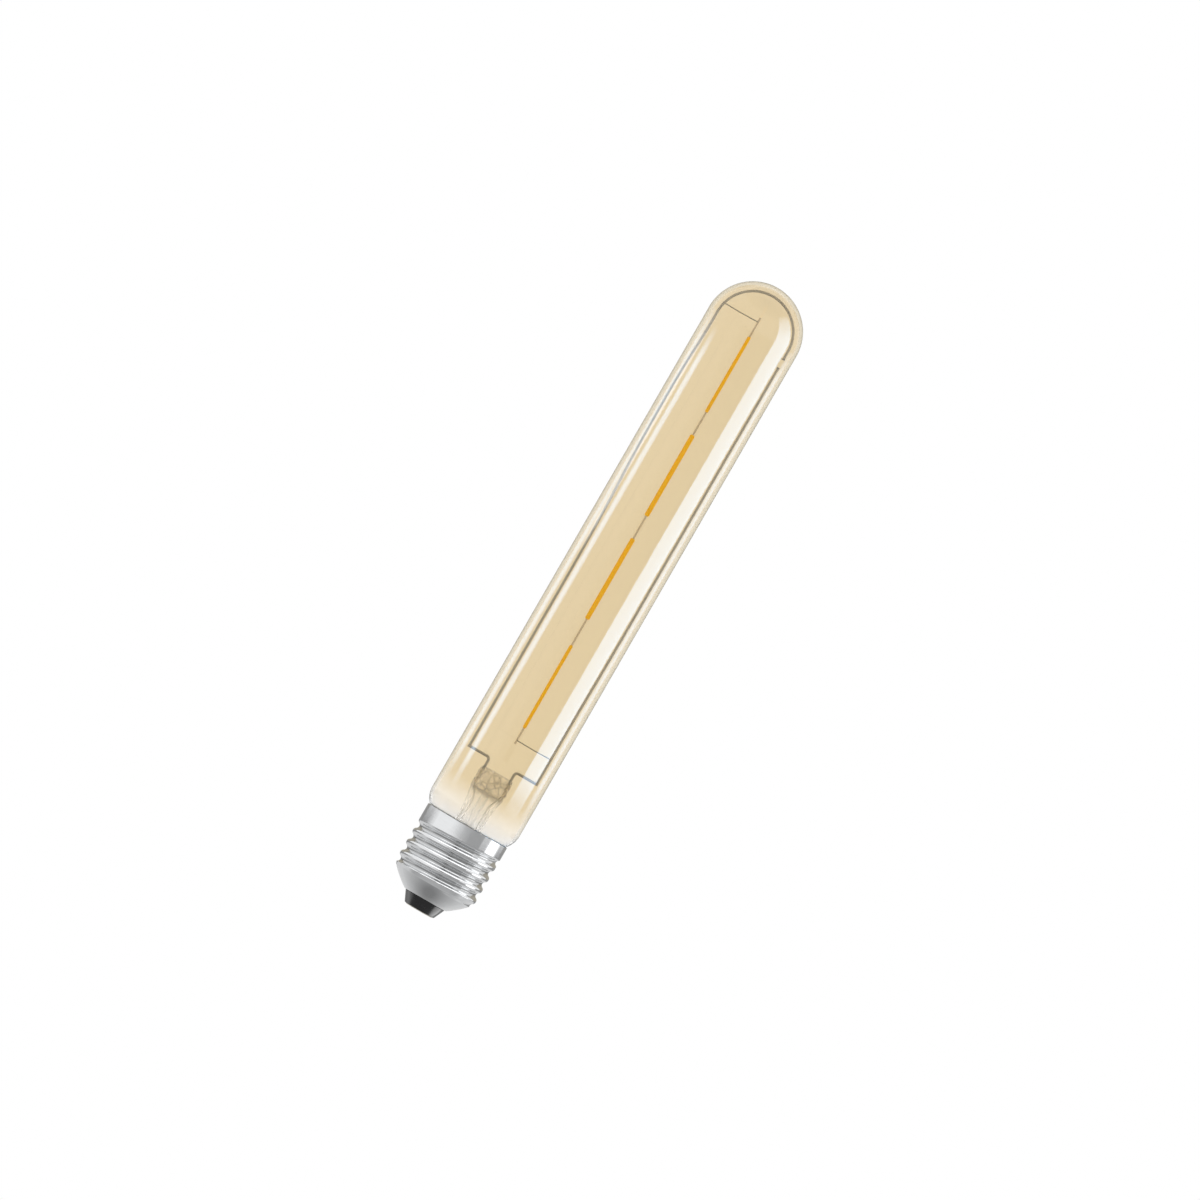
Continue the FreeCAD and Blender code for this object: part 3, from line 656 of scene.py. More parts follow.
def thread_tree(cap):
    """Cap shell: a grid bent round the axis, up the outside of the sheet and down its inside."""
    sizes = {
        "Pitch": cap.pitch, "Crest radius": cap.crest_radius, "Thread depth": cap.thread_depth,
        "Sheet": cap.sheet, "Groove foot": cap.groove_foot, "Rim": cap.rim, "Foot": cap.foot,
        "Groove turns": 4.92, "Fade turns": 0.33, "Fade rise": 1.2 * MM, "Crest turned": 0.035 * MM,
        "Foot radius": 6.8 * MM, "Knee radius": 12.45 * MM, "Knee height": 8.6 * MM,
        "Belly": 0.25 * MM, "Climb": 2.4, "Rows": cap.rows, "Around": cap.around,
    }
    tree, source, size = start_tree("cap_thread", sizes)
    rows = size["Rows"]
    grid, u, v = sheet_grid(tree, size["Around"] + 1, rows * 2 + 3)
    step = (v * (rows * 2 + 2)).do("ROUND")
    step = step.do("MODULO", rows * 2 + 2)
    inner = step.do("GREATER_THAN", rows + 0.5)
    span = size["Rim"] - size["Foot"]
    up = size["Foot"] + span * step / rows
    down = size["Rim"] - span * (step - rows - 1) / rows
    z = pick(inner, down, up)
    inset = inner * size["Sheet"]
    turn = u * ROUND
    lift = (z - size["Groove foot"]) / size["Pitch"] - u
    turns = lift.do("ROUND") + u
    p = (z - size["Groove foot"] - turns * size["Pitch"]).do("ABSOLUTE")
    root = size["Crest radius"] - size["Thread depth"]
    thread = thread_radius(p, size["Crest radius"], root, size["Pitch"] * 0.5, inset)
    fading = ((turns - size["Groove turns"]) / size["Fade turns"]).above_zero()
    bar = size["Crest radius"] - inset - size["Crest turned"]
    thread = (thread + fading * size["Fade rise"]).do("MINIMUM", bar)
    run = size["Knee radius"] - size["Foot radius"]
    climb = size["Knee height"] - size["Foot"]
    chord = (run * run + climb * climb).do("SQRT")
    belly = size["Belly"]
    ball = chord * chord / (belly * 8) + belly * 0.5
    centre_r = (size["Knee radius"] + size["Foot radius"]) * 0.5 - climb / chord * (ball - belly)
    centre_z = (size["Knee height"] + size["Foot"]) * 0.5 + run / chord * (ball - belly)
    arc = ball - inset
    drop = z - centre_z
    bowl = centre_r + (arc * arc - drop * drop).above_zero().do("SQRT")
    knee_r = size["Knee radius"] - inset * climb / chord
    knee_z = size["Knee height"] + inset * run / chord
    line = knee_r + (z - knee_z) / size["Climb"]
    hole = size["Foot radius"] - inset * climb / chord
    bowl = bowl.do("MAXIMUM", hole)
    lower = z.do("LESS_THAN", knee_z)
    turned_r = thread.do("MINIMUM", pick(lower, bowl, line))
    placed = set_places(tree, grid, turned_r * turn.do("COSINE"), turned_r * turn.do("SINE"), z)
    end_tree(tree, source, placed)
    return tree


def strip_tree(filament):
    """Filament strip: an upright bar with soft corners that swells over each chip and has round ends."""
    sizes = {
        "Width": filament.width, "Depth": filament.depth, "Foot": 0.0, "Top": 0.02,
        "Chips": filament.chips, "Swell": filament.swell, "End round": filament.end_round,
        "Squareness": 0.5, "Turn": 0.0,
    }
    tree, source, size = start_tree("filament_strip", sizes)
    grid, u, v = sheet_grid(tree, 41, size["Chips"] * 10 + 1)
    along = 0.5 - (v * math.pi).do("COSINE") * 0.5
    along = along * 0.4 + v * 0.6
    tall = size["Top"] - size["Foot"]
    z = size["Foot"] + tall * along
    near = tall * (0.5 - (along - 0.5).do("ABSOLUTE"))
    left = (1.0 - near / size["End round"]).above_zero()
    end = (1.0 - left * left).above_zero().do("SQRT")
    beat = (along * size["Chips"] * ROUND).do("COSINE")
    grow = end * (1.0 - size["Swell"] * (beat * 0.5 + 0.5))
    angle = u * ROUND
    side, front = angle.do("COSINE"), angle.do("SINE")
    x = side.do("SIGN") * side.do("ABSOLUTE").do("POWER", size["Squareness"]) * size["Width"] * 0.5 * grow
    y = front.do("SIGN") * front.do("ABSOLUTE").do("POWER", size["Squareness"]) * size["Depth"] * 0.5 * grow
    cos, sin = size["Turn"].do("COSINE"), size["Turn"].do("SINE")
    placed = set_places(tree, grid, x * cos - y * sin, x * sin + y * cos, z)
    end_tree(tree, source, placed)
    return tree


def wire_tree():
    """Round wire along a route, with the bends that the route's points ask for."""
    tree, source, size = start_tree("round_wire", {"Radius": 0.4 * MM, "Sides": 20})
    route = add_node(tree, "GeometryNodeMeshToCurve", {"Mesh": source.outputs["Geometry"]})
    bends = add_node(tree, "GeometryNodeInputNamedAttribute", {"Name": "bend"}, data_type="FLOAT")
    rounded = add_node(tree, "GeometryNodeFilletCurve",
                       {"Curve": route.outputs[0], "Count": 8, "Radius": bends.outputs["Attribute"]},
                       mode="POLY")
    ring = add_node(tree, "GeometryNodeCurvePrimitiveCircle")
    plug(tree, size["Sides"], ring.inputs["Resolution"])
    plug(tree, size["Radius"], ring.inputs["Radius"])
    tube = add_node(tree, "GeometryNodeCurveToMesh",
                    {"Curve": rounded.outputs[0], "Profile Curve": ring.outputs[0], "Fill Caps": True})
    end_tree(tree, source, tube.outputs[0])
    return tree


def route_mesh(points, bends):
    """Open run of points with the radius of the bend at each."""
    base = bpy.data.meshes.new("route")
    base.from_pydata(points, [(k, k + 1) for k in range(len(points) - 1)], [])
    layer = base.attributes.new("bend", "FLOAT", "POINT")
    for k, radius in enumerate(bends):
        layer.data[k].value = radius
    return base


def wire_piece(name, points, radius, finish, bend=0.0):
    """Round wire along its points, with the same bend at each corner, that stands for its node."""
    bends = [bend if 0 < k < len(points) - 1 else 0.0 for k in range(len(points))]
    mesh = grown(bpy.data.node_groups["round_wire"], finish, {"Radius": radius}, route_mesh(points, bends))
    return place_piece(name + "_drawn", mesh, name)


def plate(name, finish, bevel):
    """Flat metal piece in the space of its node, with its edges broken."""
    low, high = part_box(name)
    shape = bmesh.new()
    bmesh.ops.create_cube(shape, size=1)
    for vertex in shape.verts:
        for axis in range(3):
            vertex.co[axis] = high[axis] if vertex.co[axis] > 0 else low[axis]
    bmesh.ops.bevel(shape, geom=shape.edges[:] + shape.verts[:], offset=bevel, segments=3, profile=0.6,
                    affect="EDGES")
    mesh = bpy.data.meshes.new(name)
    shape.to_mesh(mesh)
    shape.free()
    mesh.materials.append(finish)
    return place_piece(name + "_flat", mesh, name)


def slot_ring(half_x, half_y, power, z, around=128):
    """Ring that is round at a power of 2 and a rounded slot at a higher one."""
    ring = []
    for k in range(around):
        a = ROUND * k / around
        x, y = math.cos(a), math.sin(a)
        ring.append(Vector((math.copysign(abs(x) ** (2 / power), x) * half_x,
                            math.copysign(abs(y) ** (2 / power), y) * half_y, z)))
    return ring


def wrinkled(ring, depth, foot):
    """Ring pushed in and out where the glass was pressed, with folds in waves for each metre."""
    blend = 2 * MM
    folds_across = 520
    folds_up = 760
    fine_folds = 1500
    out = []
    for point in ring:
        pressed = max(0.0, min(1.0, (point.z - foot) / blend))
        coarse = noise.noise(Vector((point.x * folds_across, point.y * folds_across, point.z * folds_up)))
        fine = noise.noise(point * fine_folds)
        push = depth * pressed * (coarse + 0.4 * fine)
        flat = Vector((point.x, point.y, 0)).normalized()
        out.append(point + flat * push + Vector((0, 0, push * 0.3)))
    return out


# Pieces


class LAMP_OT_glass(bpy.types.Operator):
    """Blown glass tube with its dome, shoulder and neck"""
    bl_idname = "lamp.glass"
    bl_label = "Glass tube"

    def execute(self, context):
        glass = context.scene.lamp_glass
        outline = glass_line(glass, 0) + list(reversed(glass_line(glass, glass.wall)))
        mesh = turned(outline, around=256)
        mesh.materials.append(gold_glass(glass))
        place_piece("blown_tube", mesh, "glass_envelope", sharp=60)
        return {"FINISHED"}


class LAMP_OT_stem(bpy.types.Operator):
    """Stem of the lamp: flare, tube and wrinkled press in one piece, with its exhaust tube"""
    bl_idname = "lamp.stem"
    bl_label = "Glass stem"

    def execute(self, context):
        stem = context.scene.lamp_stem
        glass = context.scene.lamp_glass
        fit = 0.03 * MM
        press_edge = 0.8 * MM
        press_squareness = 4.5
        hollow_half_x = 4.55 * MM
        hollow_half_y = 0.9 * MM
        hollow_squareness = 3
        upright_rings = 24
        edge_rings = 8
        wrinkle_foot = stem.press_foot - 2 * MM
        lip = glass.neck_radius - glass.wall - fit
        span = lip - stem.tube_radius
        drop = stem.flare_top - stem.lip_height
        bend = (span ** 2 + drop ** 2) / (2 * span)

        def flare(far, steps=20):
            """Rings of the flare's curve, from the lip up."""
            full = math.acos((stem.tube_radius + bend - lip) / far)
            rings = []
            for k in range(steps + 1):
                turn = full * (1 - k / steps)
                r = stem.tube_radius + bend - far * math.cos(turn)
                rings.append(slot_ring(r, r, 2, stem.flare_top - far * math.sin(turn)))
            return rings

        def waist(r, half_x, half_y, power, steps=20):
            """Rings from the round tube to the flattened end."""
            rings = []
            for k in range(steps + 1):
                t = k / steps
                soft = 0.5 * t + 0.5 * t * t * (3 - 2 * t)
                height = stem.straight_top + (stem.press_foot - stem.straight_top) * t
                rings.append(slot_ring(r + (half_x - r) * soft, r + (half_y - r) * soft,
                                       2 + (power - 2) * soft, height))
            return rings

        def press_ring(back, shrink, height):
            """Ring of the press, set back at its rounded top edge and then drawn in to its middle."""
            return slot_ring((stem.press_half_x - back) * shrink, (stem.press_half_y - back) * shrink,
                             press_squareness, height)

        outer = flare(bend) + waist(stem.tube_radius, stem.press_half_x, stem.press_half_y, press_squareness)
        tall = stem.press_top - press_edge - stem.press_foot
        outer += [press_ring(0, 1, stem.press_foot + tall * k / upright_rings)
                  for k in range(1, upright_rings + 1)]
        for k in range(1, edge_rings + 1):
            turn = math.pi / 2 * k / edge_rings
            outer.append(press_ring(press_edge * (1 - math.cos(turn)), 1,
                                    stem.press_top - press_edge + press_edge * math.sin(turn)))
        outer += [press_ring(press_edge, shrink, stem.press_top) for shrink in (0.85, 0.65, 0.4, 0.2)]
        outer = [wrinkled(ring, stem.crinkle, wrinkle_foot) for ring in outer]
        inner = flare(bend + stem.wall) + waist(stem.tube_radius - stem.wall, hollow_half_x, hollow_half_y,
                                                hollow_squareness)
        rings = outer + [[(0, 0, stem.press_top)]] + [[(0, 0, stem.press_foot)]] + list(reversed(inner))
        mesh = self.two_walls(rings, len(outer) + 1)
        mesh.materials.append(stem_finish("press_glass", tint=(0.98, 0.975, 0.96), crinkle=0.9 * MM,
                                          foot=wrinkle_foot, top=stem.press_top))
        place_piece("pressed_stem", mesh, "stem_glass", sharp=70)
        self.exhaust_tube()
        return {"FINISHED"}

    def exhaust_tube(self):
        """Thin pipe down the middle of the stem, drawn out and sealed at its lower end."""
        low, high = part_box("exhaust_tube")
        r = high.x
        tip = low.z
        cone = 2.2 * MM
        bore = 0.7 * MM
        outside = [(0, tip), (r * 0.3, tip + 0.1 * MM), (r * 0.8, tip + cone * 0.6), (r, tip + cone * 1.1),
                   (r, high.z)]
        inside = [(bore, high.z), (bore, tip + cone + bore), (bore * 0.6, tip + cone + 0.2 * MM),
                  (0, tip + cone)]
        pipe = turned(softened(outside + inside, 0.4 * MM), around=48, closed=False)
        pipe.materials.append(stem_finish("pipe_glass", tint=(0.985, 0.985, 0.975), crinkle=0.02 * MM,
                                          foot=high.z, top=high.z))
        place_piece("drawn_exhaust_tube", pipe, "exhaust_tube", sharp=60)

    def two_walls(self, rings, cut):
        """One mesh from the outside up to its pole, and the inside from its pole down, joined at the lip."""
        shape = bmesh.new()
        for part in (lofted(rings[:cut]), lofted(rings[cut:]), lofted([rings[-1], rings[0]])):
            shape.from_mesh(part)
        bmesh.ops.remove_doubles(shape, verts=shape.verts[:], dist=1e-7)
        mesh = bpy.data.meshes.new("stem")
        shape.to_mesh(mesh)
        shape.free()
        return mesh


class LAMP_OT_wires(bpy.types.Operator):
    """Support wires, leads, links and the glass bead between the two long wires"""
    bl_idname = "lamp.wires"
    bl_label = "Wires"

    def execute(self, context):
        wires = context.scene.lamp_wires
        dome = lamp_top - context.scene.lamp_glass.tube_radius
        dull = drawn_metal("dull_nickel", tuple(wires.metal), rough=0.36)
        wire_tree()
        self.long_wires(wires, dome, dull)
        self.leads(wires, dull)
        self.links(wires, dull)
        self.bead()
        return {"FINISHED"}

    def long_wires(self, wires, dome, finish):
        """Long wires up from the sideways leads; the left one arches over to the end of the right one."""
        bow_share = 0.816           # heights as shares of the upright length
        bend_share = 0.386
        right_bend_rise = 9.6 * MM
        gap = 2.3 * MM              # in the bead, between the ends of the two wires
        arch_steps = 48
        run = wires.run_height
        right_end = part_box("frame_wire_right")[1].z
        bow = run + (dome - run) * bow_share
        bend = run + (dome - run) * bend_share
        arch = wires.arch_radius
        left = [(-wires.left_x, run)] + s_bend(-wires.left_x, bend, -wires.bow_x, bow)
        left += s_bend(-wires.bow_x, bow, -arch, dome)[1:]
        for k in range(1, arch_steps + 1):
            turn = math.pi * k / arch_steps
            left.append((-arch * math.cos(turn), dome + arch * math.sin(turn)))
        left.append((arch, right_end + gap))
        right = [(wires.right_foot_x, run)]
        right += s_bend(wires.right_foot_x, run + right_bend_rise, wires.right_x, bend)
        right.append((wires.right_x, right_end))
        for name, line in (("frame_wire_left", left), ("frame_wire_right", right)):
            wire_piece(name, [(x, 0, z) for x, z in line], wires.radius, finish)

    def leads(self, wires, finish):
        """On each side the bent inner lead, its seal wire in the press and the outer lead below it."""
        inner_bend = 1.0 * MM
        seal_radius = 0.32 * MM
        outer_x = 2.5 * MM          # where the outer leads run in the stem tube
        outer_slip = 4.7 * MM
        outer_bend = 2.0 * MM
        copper = drawn_metal("copper_sheath", (0.80, 0.70, 0.56), rough=0.4)
        tinned = drawn_metal("tinned_lead", (0.80, 0.77, 0.72), rough=0.3)
        run = wires.run_height
        for (side, word), far in zip(SIDES, (wires.left_x, wires.right_foot_x)):
            low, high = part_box("seal_wire_" + word)
            x = side * wires.lead_x
            points = [(x, 0, high.z), (x, 0, run), (side * (far + wires.radius), 0, run)]
            wire_piece("inner_lead_" + word, points, wires.radius, finish, inner_bend)
            wire_piece("seal_wire_" + word, [(x, 0, low.z), (x, 0, high.z)], seal_radius, copper)
            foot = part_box("outer_lead_" + word)[0].z
            x_low = side * outer_x
            points = [(x, 0, low.z), (x_low, 0, low.z - outer_slip), (x_low, 0, foot)]
            wire_piece("outer_lead_" + word, points, wires.lead_radius, tinned, outer_bend)

    def links(self, wires, finish):
        """Thin wires from the long wires to both ends of the filaments, with a slight sag."""
        sag = 0.12 * MM
        sag_bend = 8 * MM
        for name, x_far in (("top_link_wire", -wires.arch_radius), ("bottom_link_wire", wires.right_x)):
            low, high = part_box(name)
            y = (low.y + high.y) / 2
            z = (low.z + high.z) / 2
            points = [(0, y, z), (x_far * 0.5, y, z - sag), (x_far, y, z)]
            wire_piece(name, points, wires.link_radius, finish, sag_bend)

    def bead(self):
        """Melted glass bead with round ends, over the ends of the two long wires."""
        low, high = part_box("bead_insulator")
        r = (high.x - low.x) / 2
        centre = ((low.x + high.x) / 2, 0)
        steps = 10
        lower = [-math.pi / 2 * (1 - k / steps) for k in range(steps + 1)]
        line = [(r * math.cos(a), low.z + r + r * math.sin(a)) for a in lower]
        line += [(r * math.cos(a), high.z - r - r * math.sin(a)) for a in reversed(lower)]
        line[0] = (0, low.z)
        line[-1] = (0, high.z)
        mesh = turned(line, around=32, closed=False, centre=centre)
        mesh.materials.append(bead_glass())
        place_piece("melted_bead", mesh, "bead_insulator")


class LAMP_OT_filaments(bpy.types.Operator):
    """Phosphor-coated strips in a line, with their flat metal ends"""
    bl_idname = "lamp.filaments"
    bl_label = "Filaments"

    def execute(self, context):
        filament = context.scene.lamp_filament
        coat = phosphor_coat(filament)
        pin = drawn_metal("pin_metal", (0.78, 0.72, 0.66), rough=0.42, stretch=(0.2, 1, 1))
        tree = strip_tree(filament)
        for number in range(1, 5):
            name = "led_filament_%d" % number
            low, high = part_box(name)
            turn = math.pi / 2 if high.y - low.y > high.x - low.x else 0.0
            mesh = grown(tree, coat, {"Foot": low.z, "Top": high.z, "Turn": turn})
            place_piece("coated_strip_%d" % number, mesh, name, sharp=80)
            for end in ("upper", "lower"):
                plate("filament_pin_%d_%s" % (number, end), pin, 0.05 * MM)
        return {"FINISHED"}


class LAMP_OT_cap(bpy.types.Operator):
    """Rolled screw shell of the cap"""
    bl_idname = "lamp.cap"
    bl_label = "Screw cap"

    def execute(self, context):
        cap = context.scene.lamp_cap
        mesh = grown(thread_tree(cap), rolled_sheet(cap), {})
        place_piece("rolled_cap", mesh, "cap_shell", sharp=50)
        return {"FINISHED"}


class LAMP_OT_contact(bpy.types.Operator):
    """Black insulator and centre contact at the foot of the cap, with solder, and the cement in the cap"""
    bl_idname = "lamp.contact"
    bl_label = "Insulator and contact"

    def execute(self, context):
        self.insulator()
        self.eyelet_and_solder()
        self.cement(context.scene.lamp_glass)
        return {"FINISHED"}

    def insulator(self):
        """Black moulded ring with a tapered foot, a short waist and a cone that lies in the cap."""
        eyelet_seat_r = 4.33 * MM
        face_r = 4.8 * MM
        waist_r = 6.4 * MM
        cone_r = 10.47 * MM
        bore_r = 1.53 * MM
        face_z = 0.2 * MM
        seat_z = 0.6 * MM
        waist_z = 3.6 * MM
        cone_foot_z = 4.0 * MM
        cone_top_z = 7.4 * MM
        edge_round = 0.35 * MM
        black = moulded("black_insulator", (0.013, 0.013, 0.014), 0.22, scale=500, bump=0.02, spread=0.4,
                        Specular_IOR_Level=0.35)
        foot = [(eyelet_seat_r, face_z), (face_r, face_z), (waist_r, waist_z), (waist_r, cone_foot_z)]
        cone = [(cone_r, cone_top_z), (bore_r, cone_top_z), (bore_r, seat_z), (eyelet_seat_r, seat_z)]
        mesh = turned(softened(foot, edge_round) + cone)
        mesh.materials.append(black)
        place_piece("moulded_insulator", mesh, "cap_insulator")

    def eyelet_and_solder(self):
        """Rolled centre contact with a rounded edge, and the solder in its bore."""
        flange_r = 4.3 * MM
        mouth_r = 1.0 * MM
        shank_r = 1.5 * MM
        bore_r = 0.8 * MM
        mouth_z = 0.25 * MM
        flange_z = 0.6 * MM
        mid_z = 3.0 * MM
        shank_z = 6.2 * MM
        edge_round = 0.2 * MM
        dish_low = 0.02 * MM        # rise of the solder near its middle and near its rim
        dish_high = 0.2 * MM
        tinned = drawn_metal("tinned_contact", (0.78, 0.74, 0.62), rough=0.3, scale=700, stretch=(1, 1, 1))
        solder = drawn_metal("soft_solder", (0.66, 0.66, 0.67), rough=0.28, scale=900, stretch=(1, 1, 1),
                             bump=0.05)
        line = [(bore_r, mouth_z), (mouth_r, 0.0), (flange_r, 0.0), (flange_r, flange_z), (shank_r, flange_z),
                (shank_r, shank_z), (bore_r, shank_z), (bore_r, mid_z)]
        mesh = turned(softened(line, edge_round))
        mesh.materials.append(tinned)
        place_piece("rolled_eyelet", mesh, "contact_eyelet")
        low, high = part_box("centre_solder")
        r = high.x
        dish = [(0, low.z), (r * 0.6, low.z + dish_low), (r * 0.96, low.z + dish_high)]
        mesh = turned(dish + [(r, high.z), (0, high.z)], around=48, closed=False)
        mesh.materials.append(solder)
        place_piece("solder_fill", mesh, "centre_solder")

    def cement(self, glass):
        """Ring between the neck of the glass and the cap, a hair clear of the glass."""
        clear = 0.01 * MM
        foot_z = 18 * MM
        step_z = 25 * MM
        top_z = 27.9 * MM
        lower_r = 11.67 * MM
        upper_r = 12.73 * MM
        inside = [(r, z) for r, z in glass_line(glass, -clear) if foot_z <= z <= top_z]
        outside = [(glass.neck_radius + clear, foot_z), (lower_r, foot_z), (lower_r, step_z),
                   (upper_r, step_z), (upper_r, top_z)]
        mesh = turned(outside + list(reversed(inside)))
        mesh.materials.append(moulded("chalky_cement", (0.80, 0.78, 0.73), 0.9, bump=0.12))
        place_piece("cement_ring", mesh, "basing_cement")


class LAMP_OT_driver(bpy.types.Operator):
    """Finishes of the driver and its wires, hidden in the cap"""
    bl_idname = "lamp.driver"
    bl_label = "Driver finishes"

    def execute(self, context):
        finishes = {
            "driver_board": moulded("board_lacquer", (0.03, 0.22, 0.10), 0.4, Coat_Weight=0.3),
            "bridge_rectifier": moulded("component_black", (0.035, 0.035, 0.04), 0.5),
            "smoothing_capacitor": drawn_metal("can_metal", (0.75, 0.76, 0.78), rough=0.3),
            "fuse_resistor": moulded("resistor_lacquer", (0.36, 0.50, 0.44), 0.4, Coat_Weight=0.2),
            "live_wire": drawn_metal("feed_copper", (0.72, 0.45, 0.30), rough=0.35),
            "side_solder": bpy.data.materials["soft_solder"],
        }
        finishes["driver_chip"] = finishes["bridge_rectifier"]
        finishes["sense_resistors"] = finishes["bridge_rectifier"]
        finishes["neutral_wire"] = finishes["live_wire"]
        for name, finish in finishes.items():
            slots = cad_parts[name].data.materials
            for k in range(len(slots)):
                slots[k] = finish
            if not slots:
                slots.append(finish)
        return {"FINISHED"}


class LAMP_OT_stage(bpy.types.Operator):
    """Pale floor, soft lights and the leaning camera"""
    bl_idname = "lamp.stage"
    bl_label = "Stage"

    def execute(self, context):
        stage = context.scene.lamp_stage
        self.camera(context.scene, stage)
        self.world(context.scene, stage)
        self.floor(stage)
        soft = stage.soft_radiance
        cap = self.receivers("rolled_cap")
        insulator = self.receivers("moulded_insulator")
        glass = self.receivers("blown_tube")
        cool = (0.40, 0.66, 1.0)
        pale = (0.75, 0.85, 1.0)
        white = (1, 1, 1)
        self.strip_light("left_strip", azimuth=-82.5, half_angle=10, low=0.019, high=0.207,
                         radiance=soft * 2.0, shade=cool, group=glass, soft_side=0.3)
        self.strip_light("right_strip", azimuth=76.5, half_angle=21.5, low=0.019, high=1.1,
                         radiance=soft * 2.3, shade=cool, group=glass, soft_side=0.07, soft_low=0.022,
                         soft_high=0.7)
        self.strip_light("left_haze", azimuth=-105.5, half_angle=8, low=0.114, high=0.215,
                         radiance=soft * 1.3, shade=pale, group=glass, soft_side=0.35, soft_low=0.12,
                         soft_high=0.3)
        for side, word in SIDES:
            self.strip_light(word + "_rim", azimuth=side * 120, half_angle=12, low=0.022, high=0.215,
                             radiance=soft * 0.9, shade=cool, group=glass, soft_side=0.3)
        self.strip_light("cap_strip", azimuth=92.5, half_angle=16.5, low=-0.060, high=0.060,
                         radiance=soft * 0.31, shade=white, group=cap, soft_side=0.05, soft_low=0.02)
        self.strip_light("contact_right", azimuth=105, half_angle=30, low=-0.052, high=-0.018,
                         radiance=soft * 1.2, shade=white, group=insulator, far=0.06)
        self.strip_light("contact_left", azimuth=-105, half_angle=34, low=-0.052, high=-0.018,
                         radiance=soft * 0.4, shade=white, group=insulator, soft_side=0.4, far=0.06)
        self.top_light("overhead", height=0.6, width=0.9, radiance=soft * 0.235, group=cap)
        self.card("front_card", -22, 73, card_finish("front_card", 0.51, fade=(-22, 22)))
        self.card("camera_side", -35, 54, card_finish("camera_side", 0.52, fade=(-35, 0)),
                  low=GLASS_LOW, high=0.22)
        for side, word in SIDES:
            dark = card_finish("dark_" + word, 0.04, fade=(side * 9, side * 4))
            self.card("dark_" + word, *sorted((0, side * 9)), dark, far=0.38, low=0.045, high=0.207)
        self.card("left_card", -170, -82, card_finish("left_card", 0.40, fade=(-80, -111)))
        self.card("right_card", 114, 170, card_finish("right_card", 0.41))
        tan = card_finish("tan_card", (0.50, 0.47, 0.40))
        self.card("back_card", 136, 224, tan, far=0.5, low=0.02, high=0.65)
        self.card("back_foot", 136, 224, card_finish("back_foot", 0.46), far=0.5, low=-0.07, high=0.02)
        # The low card's rings paint a shadow under the lamp, with darker painted shade further out on the
        # camera's side, for the cap to reflect.
        rings = [(0.01, 0.33), (0.026, 0.5), (0.043, 0.67), (0.068, 0.84), (0.1, 0.97), (0.16, 1.0),
                 (0.8, 1.0)]
        front_shade_rings = rings[:2] + [(0.043, 0.72), (0.068, 0.7), (0.1, 0.6), (0.2, 0.52), (0.8, 0.52)]
        shadow_pool = card_finish("low_card", 0.9, rings=rings, front_shade_rings=front_shade_rings)
        self.level_card("low_card", height=-0.06, radius=0.8, finish=shadow_pool)
        self.level_card("high_card", height=2.0, radius=1.5, finish=card_finish("high_card", 0.88))
        return {"FINISHED"}

    def camera(self, scene, stage):
        """Long lens that looks level at the lamp and is rolled, so that the lamp leans in the picture."""
        sensor = 36
        aim_x = 0.536 * MM
        aim_z = 103.55 * MM
        lens = bpy.data.cameras.new("lamp_camera")
        lens.sensor_width = sensor
        lens.lens = sensor * stage.distance / stage.seen
        lens.clip_end = 20
        camera = bpy.data.objects.new("lamp_camera", lens)
        scene.collection.objects.link(camera)
        across = Vector((math.cos(stage.lean), 0, math.sin(stage.lean)))
        back = Vector((0, -1, 0))
        turn = Matrix((across, back.cross(across), back)).transposed().to_4x4()
        camera.matrix_world = Matrix.Translation((aim_x, -stage.distance, aim_z)) @ turn
        scene.camera = camera

    def world(self, scene, stage):
        """White to the camera, in gloss and through glass, and a little less as light on matt surfaces."""
        world = bpy.data.worlds.new("soft_surroundings")
        world.use_nodes = True
        tree = world.node_tree
        sky = tree.nodes["Background"]
        rays = add_node(tree, "ShaderNodeLightPath").outputs
        direct = Field(tree, rays["Is Camera Ray"]).do("MAXIMUM", Field(tree, rays["Is Glossy Ray"]))
        direct = direct.do("MAXIMUM", Field(tree, rays["Is Transmission Ray"]))
        sky.inputs["Color"].default_value = (1, 1, 1, 1)
        plug(tree, direct * (1 - stage.sky) + stage.sky, sky.inputs["Strength"])
        scene.world = world
        scene.view_settings.view_transform = "Standard"

    def floor(self, stage):
        """Thin round floor well below the lamp."""
        thick = 2 * MM
        drop = -stage.floor_drop
        r = stage.floor_radius
        line = [(0, drop - thick), (r, drop - thick), (r, drop), (0, drop)]
        mesh = turned(line, around=96, closed=False)
        mesh.materials.append(pale_floor(r))
        floor = bpy.data.objects.new("floor", mesh)
        bpy.context.scene.collection.objects.link(floor)

    def turn_to_lamp(self, azimuth, far, height):
        """Place and turn of a flat thing that faces the lamp, with the azimuth from the camera's side."""
        a = math.radians(azimuth)
        away = Vector((math.sin(a), -math.cos(a), 0))
        across = Vector((0, 0, 1)).cross(away)
        turn = Matrix((across, Vector((0, 0, 1)), away)).transposed().to_4x4()
        return Matrix.Translation(away * far + Vector((0, 0, height))) @ turn

    def receivers(self, piece):
        """Group that keeps a light to one piece."""
        group = bpy.data.collections.new(piece + "_lighting")
        group.objects.link(bpy.data.objects[piece])
        return group

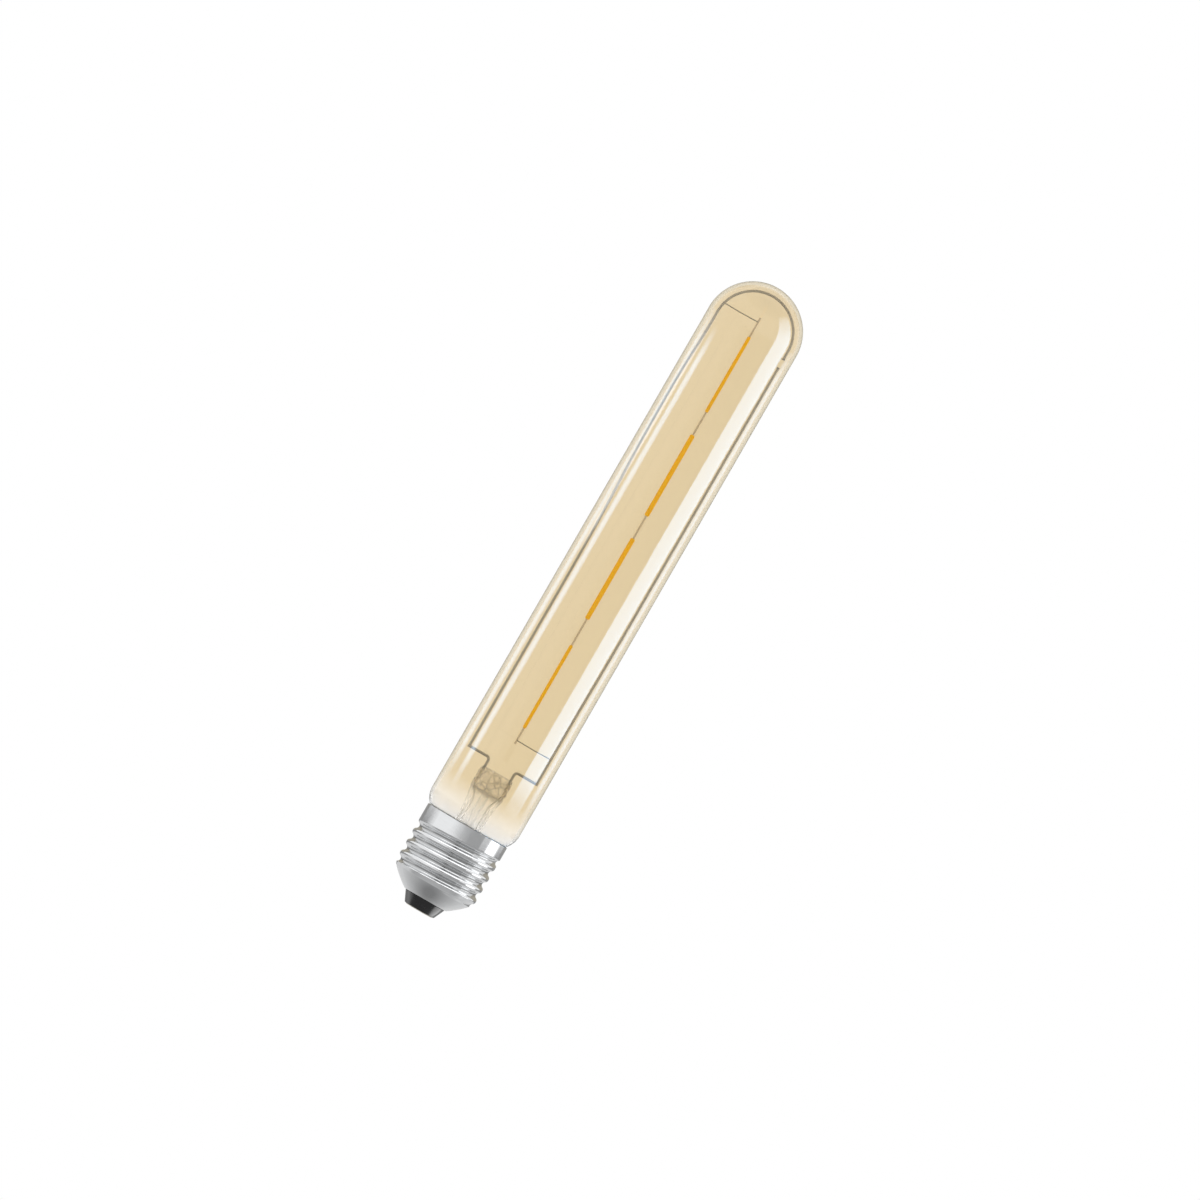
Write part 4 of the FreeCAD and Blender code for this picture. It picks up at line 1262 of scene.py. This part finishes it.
    def strip_light(self, name, azimuth, half_angle, low, high, radiance, shade, group,
                    soft_side=0.1, soft_low=0.1, soft_high=0.1, far=0.6):
        """Upright soft box beside the lamp that faces the axis, lights one group and fades at its edges.

        The azimuth and the half angle are in degrees, seen from the axis, and each soft edge is a share
        of the box.
        """
        light = bpy.data.lights.new(name, "AREA")
        light.shape = "RECTANGLE"
        light.size = 2 * far * math.tan(math.radians(half_angle))
        light.size_y = high - low
        light.energy = radiance * math.pi * light.size * light.size_y
        light.color = shade
        light.use_nodes = True
        tree = light.node_tree
        across, up = split(tree, add_node(tree, "ShaderNodeNewGeometry").outputs["Parametric"])[:2]
        strength = 1.0
        for near, soft in ((across, soft_side), (1.0 - across, soft_side),
                           (up, soft_low), (1.0 - up, soft_high)):
            strength = (near / soft).do("MINIMUM", 1.0) * strength
        plug(tree, strength, tree.nodes["Emission"].inputs["Strength"])
        self.hang_light(name, light, self.turn_to_lamp(azimuth, far, (low + high) / 2), group)

    def top_light(self, name, height, width, radiance, group):
        """Level soft box above the lamp that lights one group."""
        light = bpy.data.lights.new(name, "AREA")
        light.size = width
        light.energy = radiance * math.pi * width * width
        self.hang_light(name, light, Matrix.Translation((0, 0, height)), group)

    def hang_light(self, name, light, place, group):
        """Puts a light in its place, where only the group's pieces catch it and no ray sees it straight."""
        lamp = bpy.data.objects.new(name, light)
        bpy.context.scene.collection.objects.link(lamp)
        lamp.matrix_world = place
        lamp.visible_camera = False
        lamp.visible_transmission = False
        lamp.light_linking.receiver_collection = group

    def card(self, name, first, last, finish, far=0.4, low=-0.35, high=GLASS_LOW, steps=24):
        """Curved card from one azimuth to another, in degrees; the plain heights are those for the cap."""
        points = []
        for k in range(steps + 1):
            a = math.radians(first + (last - first) * k / steps)
            points += [(far * math.sin(a), -far * math.cos(a), z) for z in (low, high)]
        faces = [(2 * k, 2 * k + 2, 2 * k + 3, 2 * k + 1) for k in range(steps)]
        self.hang_card(name, points, faces, finish)

    def level_card(self, name, height, radius, finish):
        """Level round card below or above the lamp, for the slopes of the thread."""
        sides = 32
        points = [(radius * math.cos(ROUND * k / sides), radius * math.sin(ROUND * k / sides), height)
                  for k in range(sides)]
        self.hang_card(name, points, [tuple(range(sides))], finish)

    def hang_card(self, name, points, faces, finish):
        """Card that the camera, matt surfaces, glass and shadows all miss, so that only gloss shows it."""
        mesh = bpy.data.meshes.new(name)
        mesh.from_pydata(points, [], faces)
        mesh.materials.append(finish)
        card = bpy.data.objects.new(name, mesh)
        bpy.context.scene.collection.objects.link(card)
        card.visible_camera = False
        card.visible_diffuse = False
        card.visible_transmission = False
        card.visible_shadow = False


OPERATORS = (LAMP_OT_glass, LAMP_OT_stem, LAMP_OT_wires, LAMP_OT_filaments, LAMP_OT_cap, LAMP_OT_contact,
             LAMP_OT_driver, LAMP_OT_stage)


class LAMP_PT_sidebar(bpy.types.Panel):
    bl_label = "Tubular lamp"
    bl_idname = "LAMP_PT_sidebar"
    bl_space_type = "VIEW_3D"
    bl_region_type = "UI"
    bl_category = "Lamp"

    def draw(self, context):
        for operator in OPERATORS:
            self.layout.operator(operator.bl_idname)


def register():
    for kind in (*GROUPS.values(), *OPERATORS, LAMP_PT_sidebar):
        bpy.utils.register_class(kind)
    for name, kind in GROUPS.items():
        setattr(bpy.types.Scene, name, PointerProperty(type=kind))


def unregister():
    for name in GROUPS:
        delattr(bpy.types.Scene, name)
    for kind in reversed((*GROUPS.values(), *OPERATORS, LAMP_PT_sidebar)):
        bpy.utils.unregister_class(kind)


def main():
    register()
    for operator in OPERATORS:
        group, name = operator.bl_idname.split(".")
        getattr(getattr(bpy.ops, group), name)()


if __name__ == "__main__":
    main()
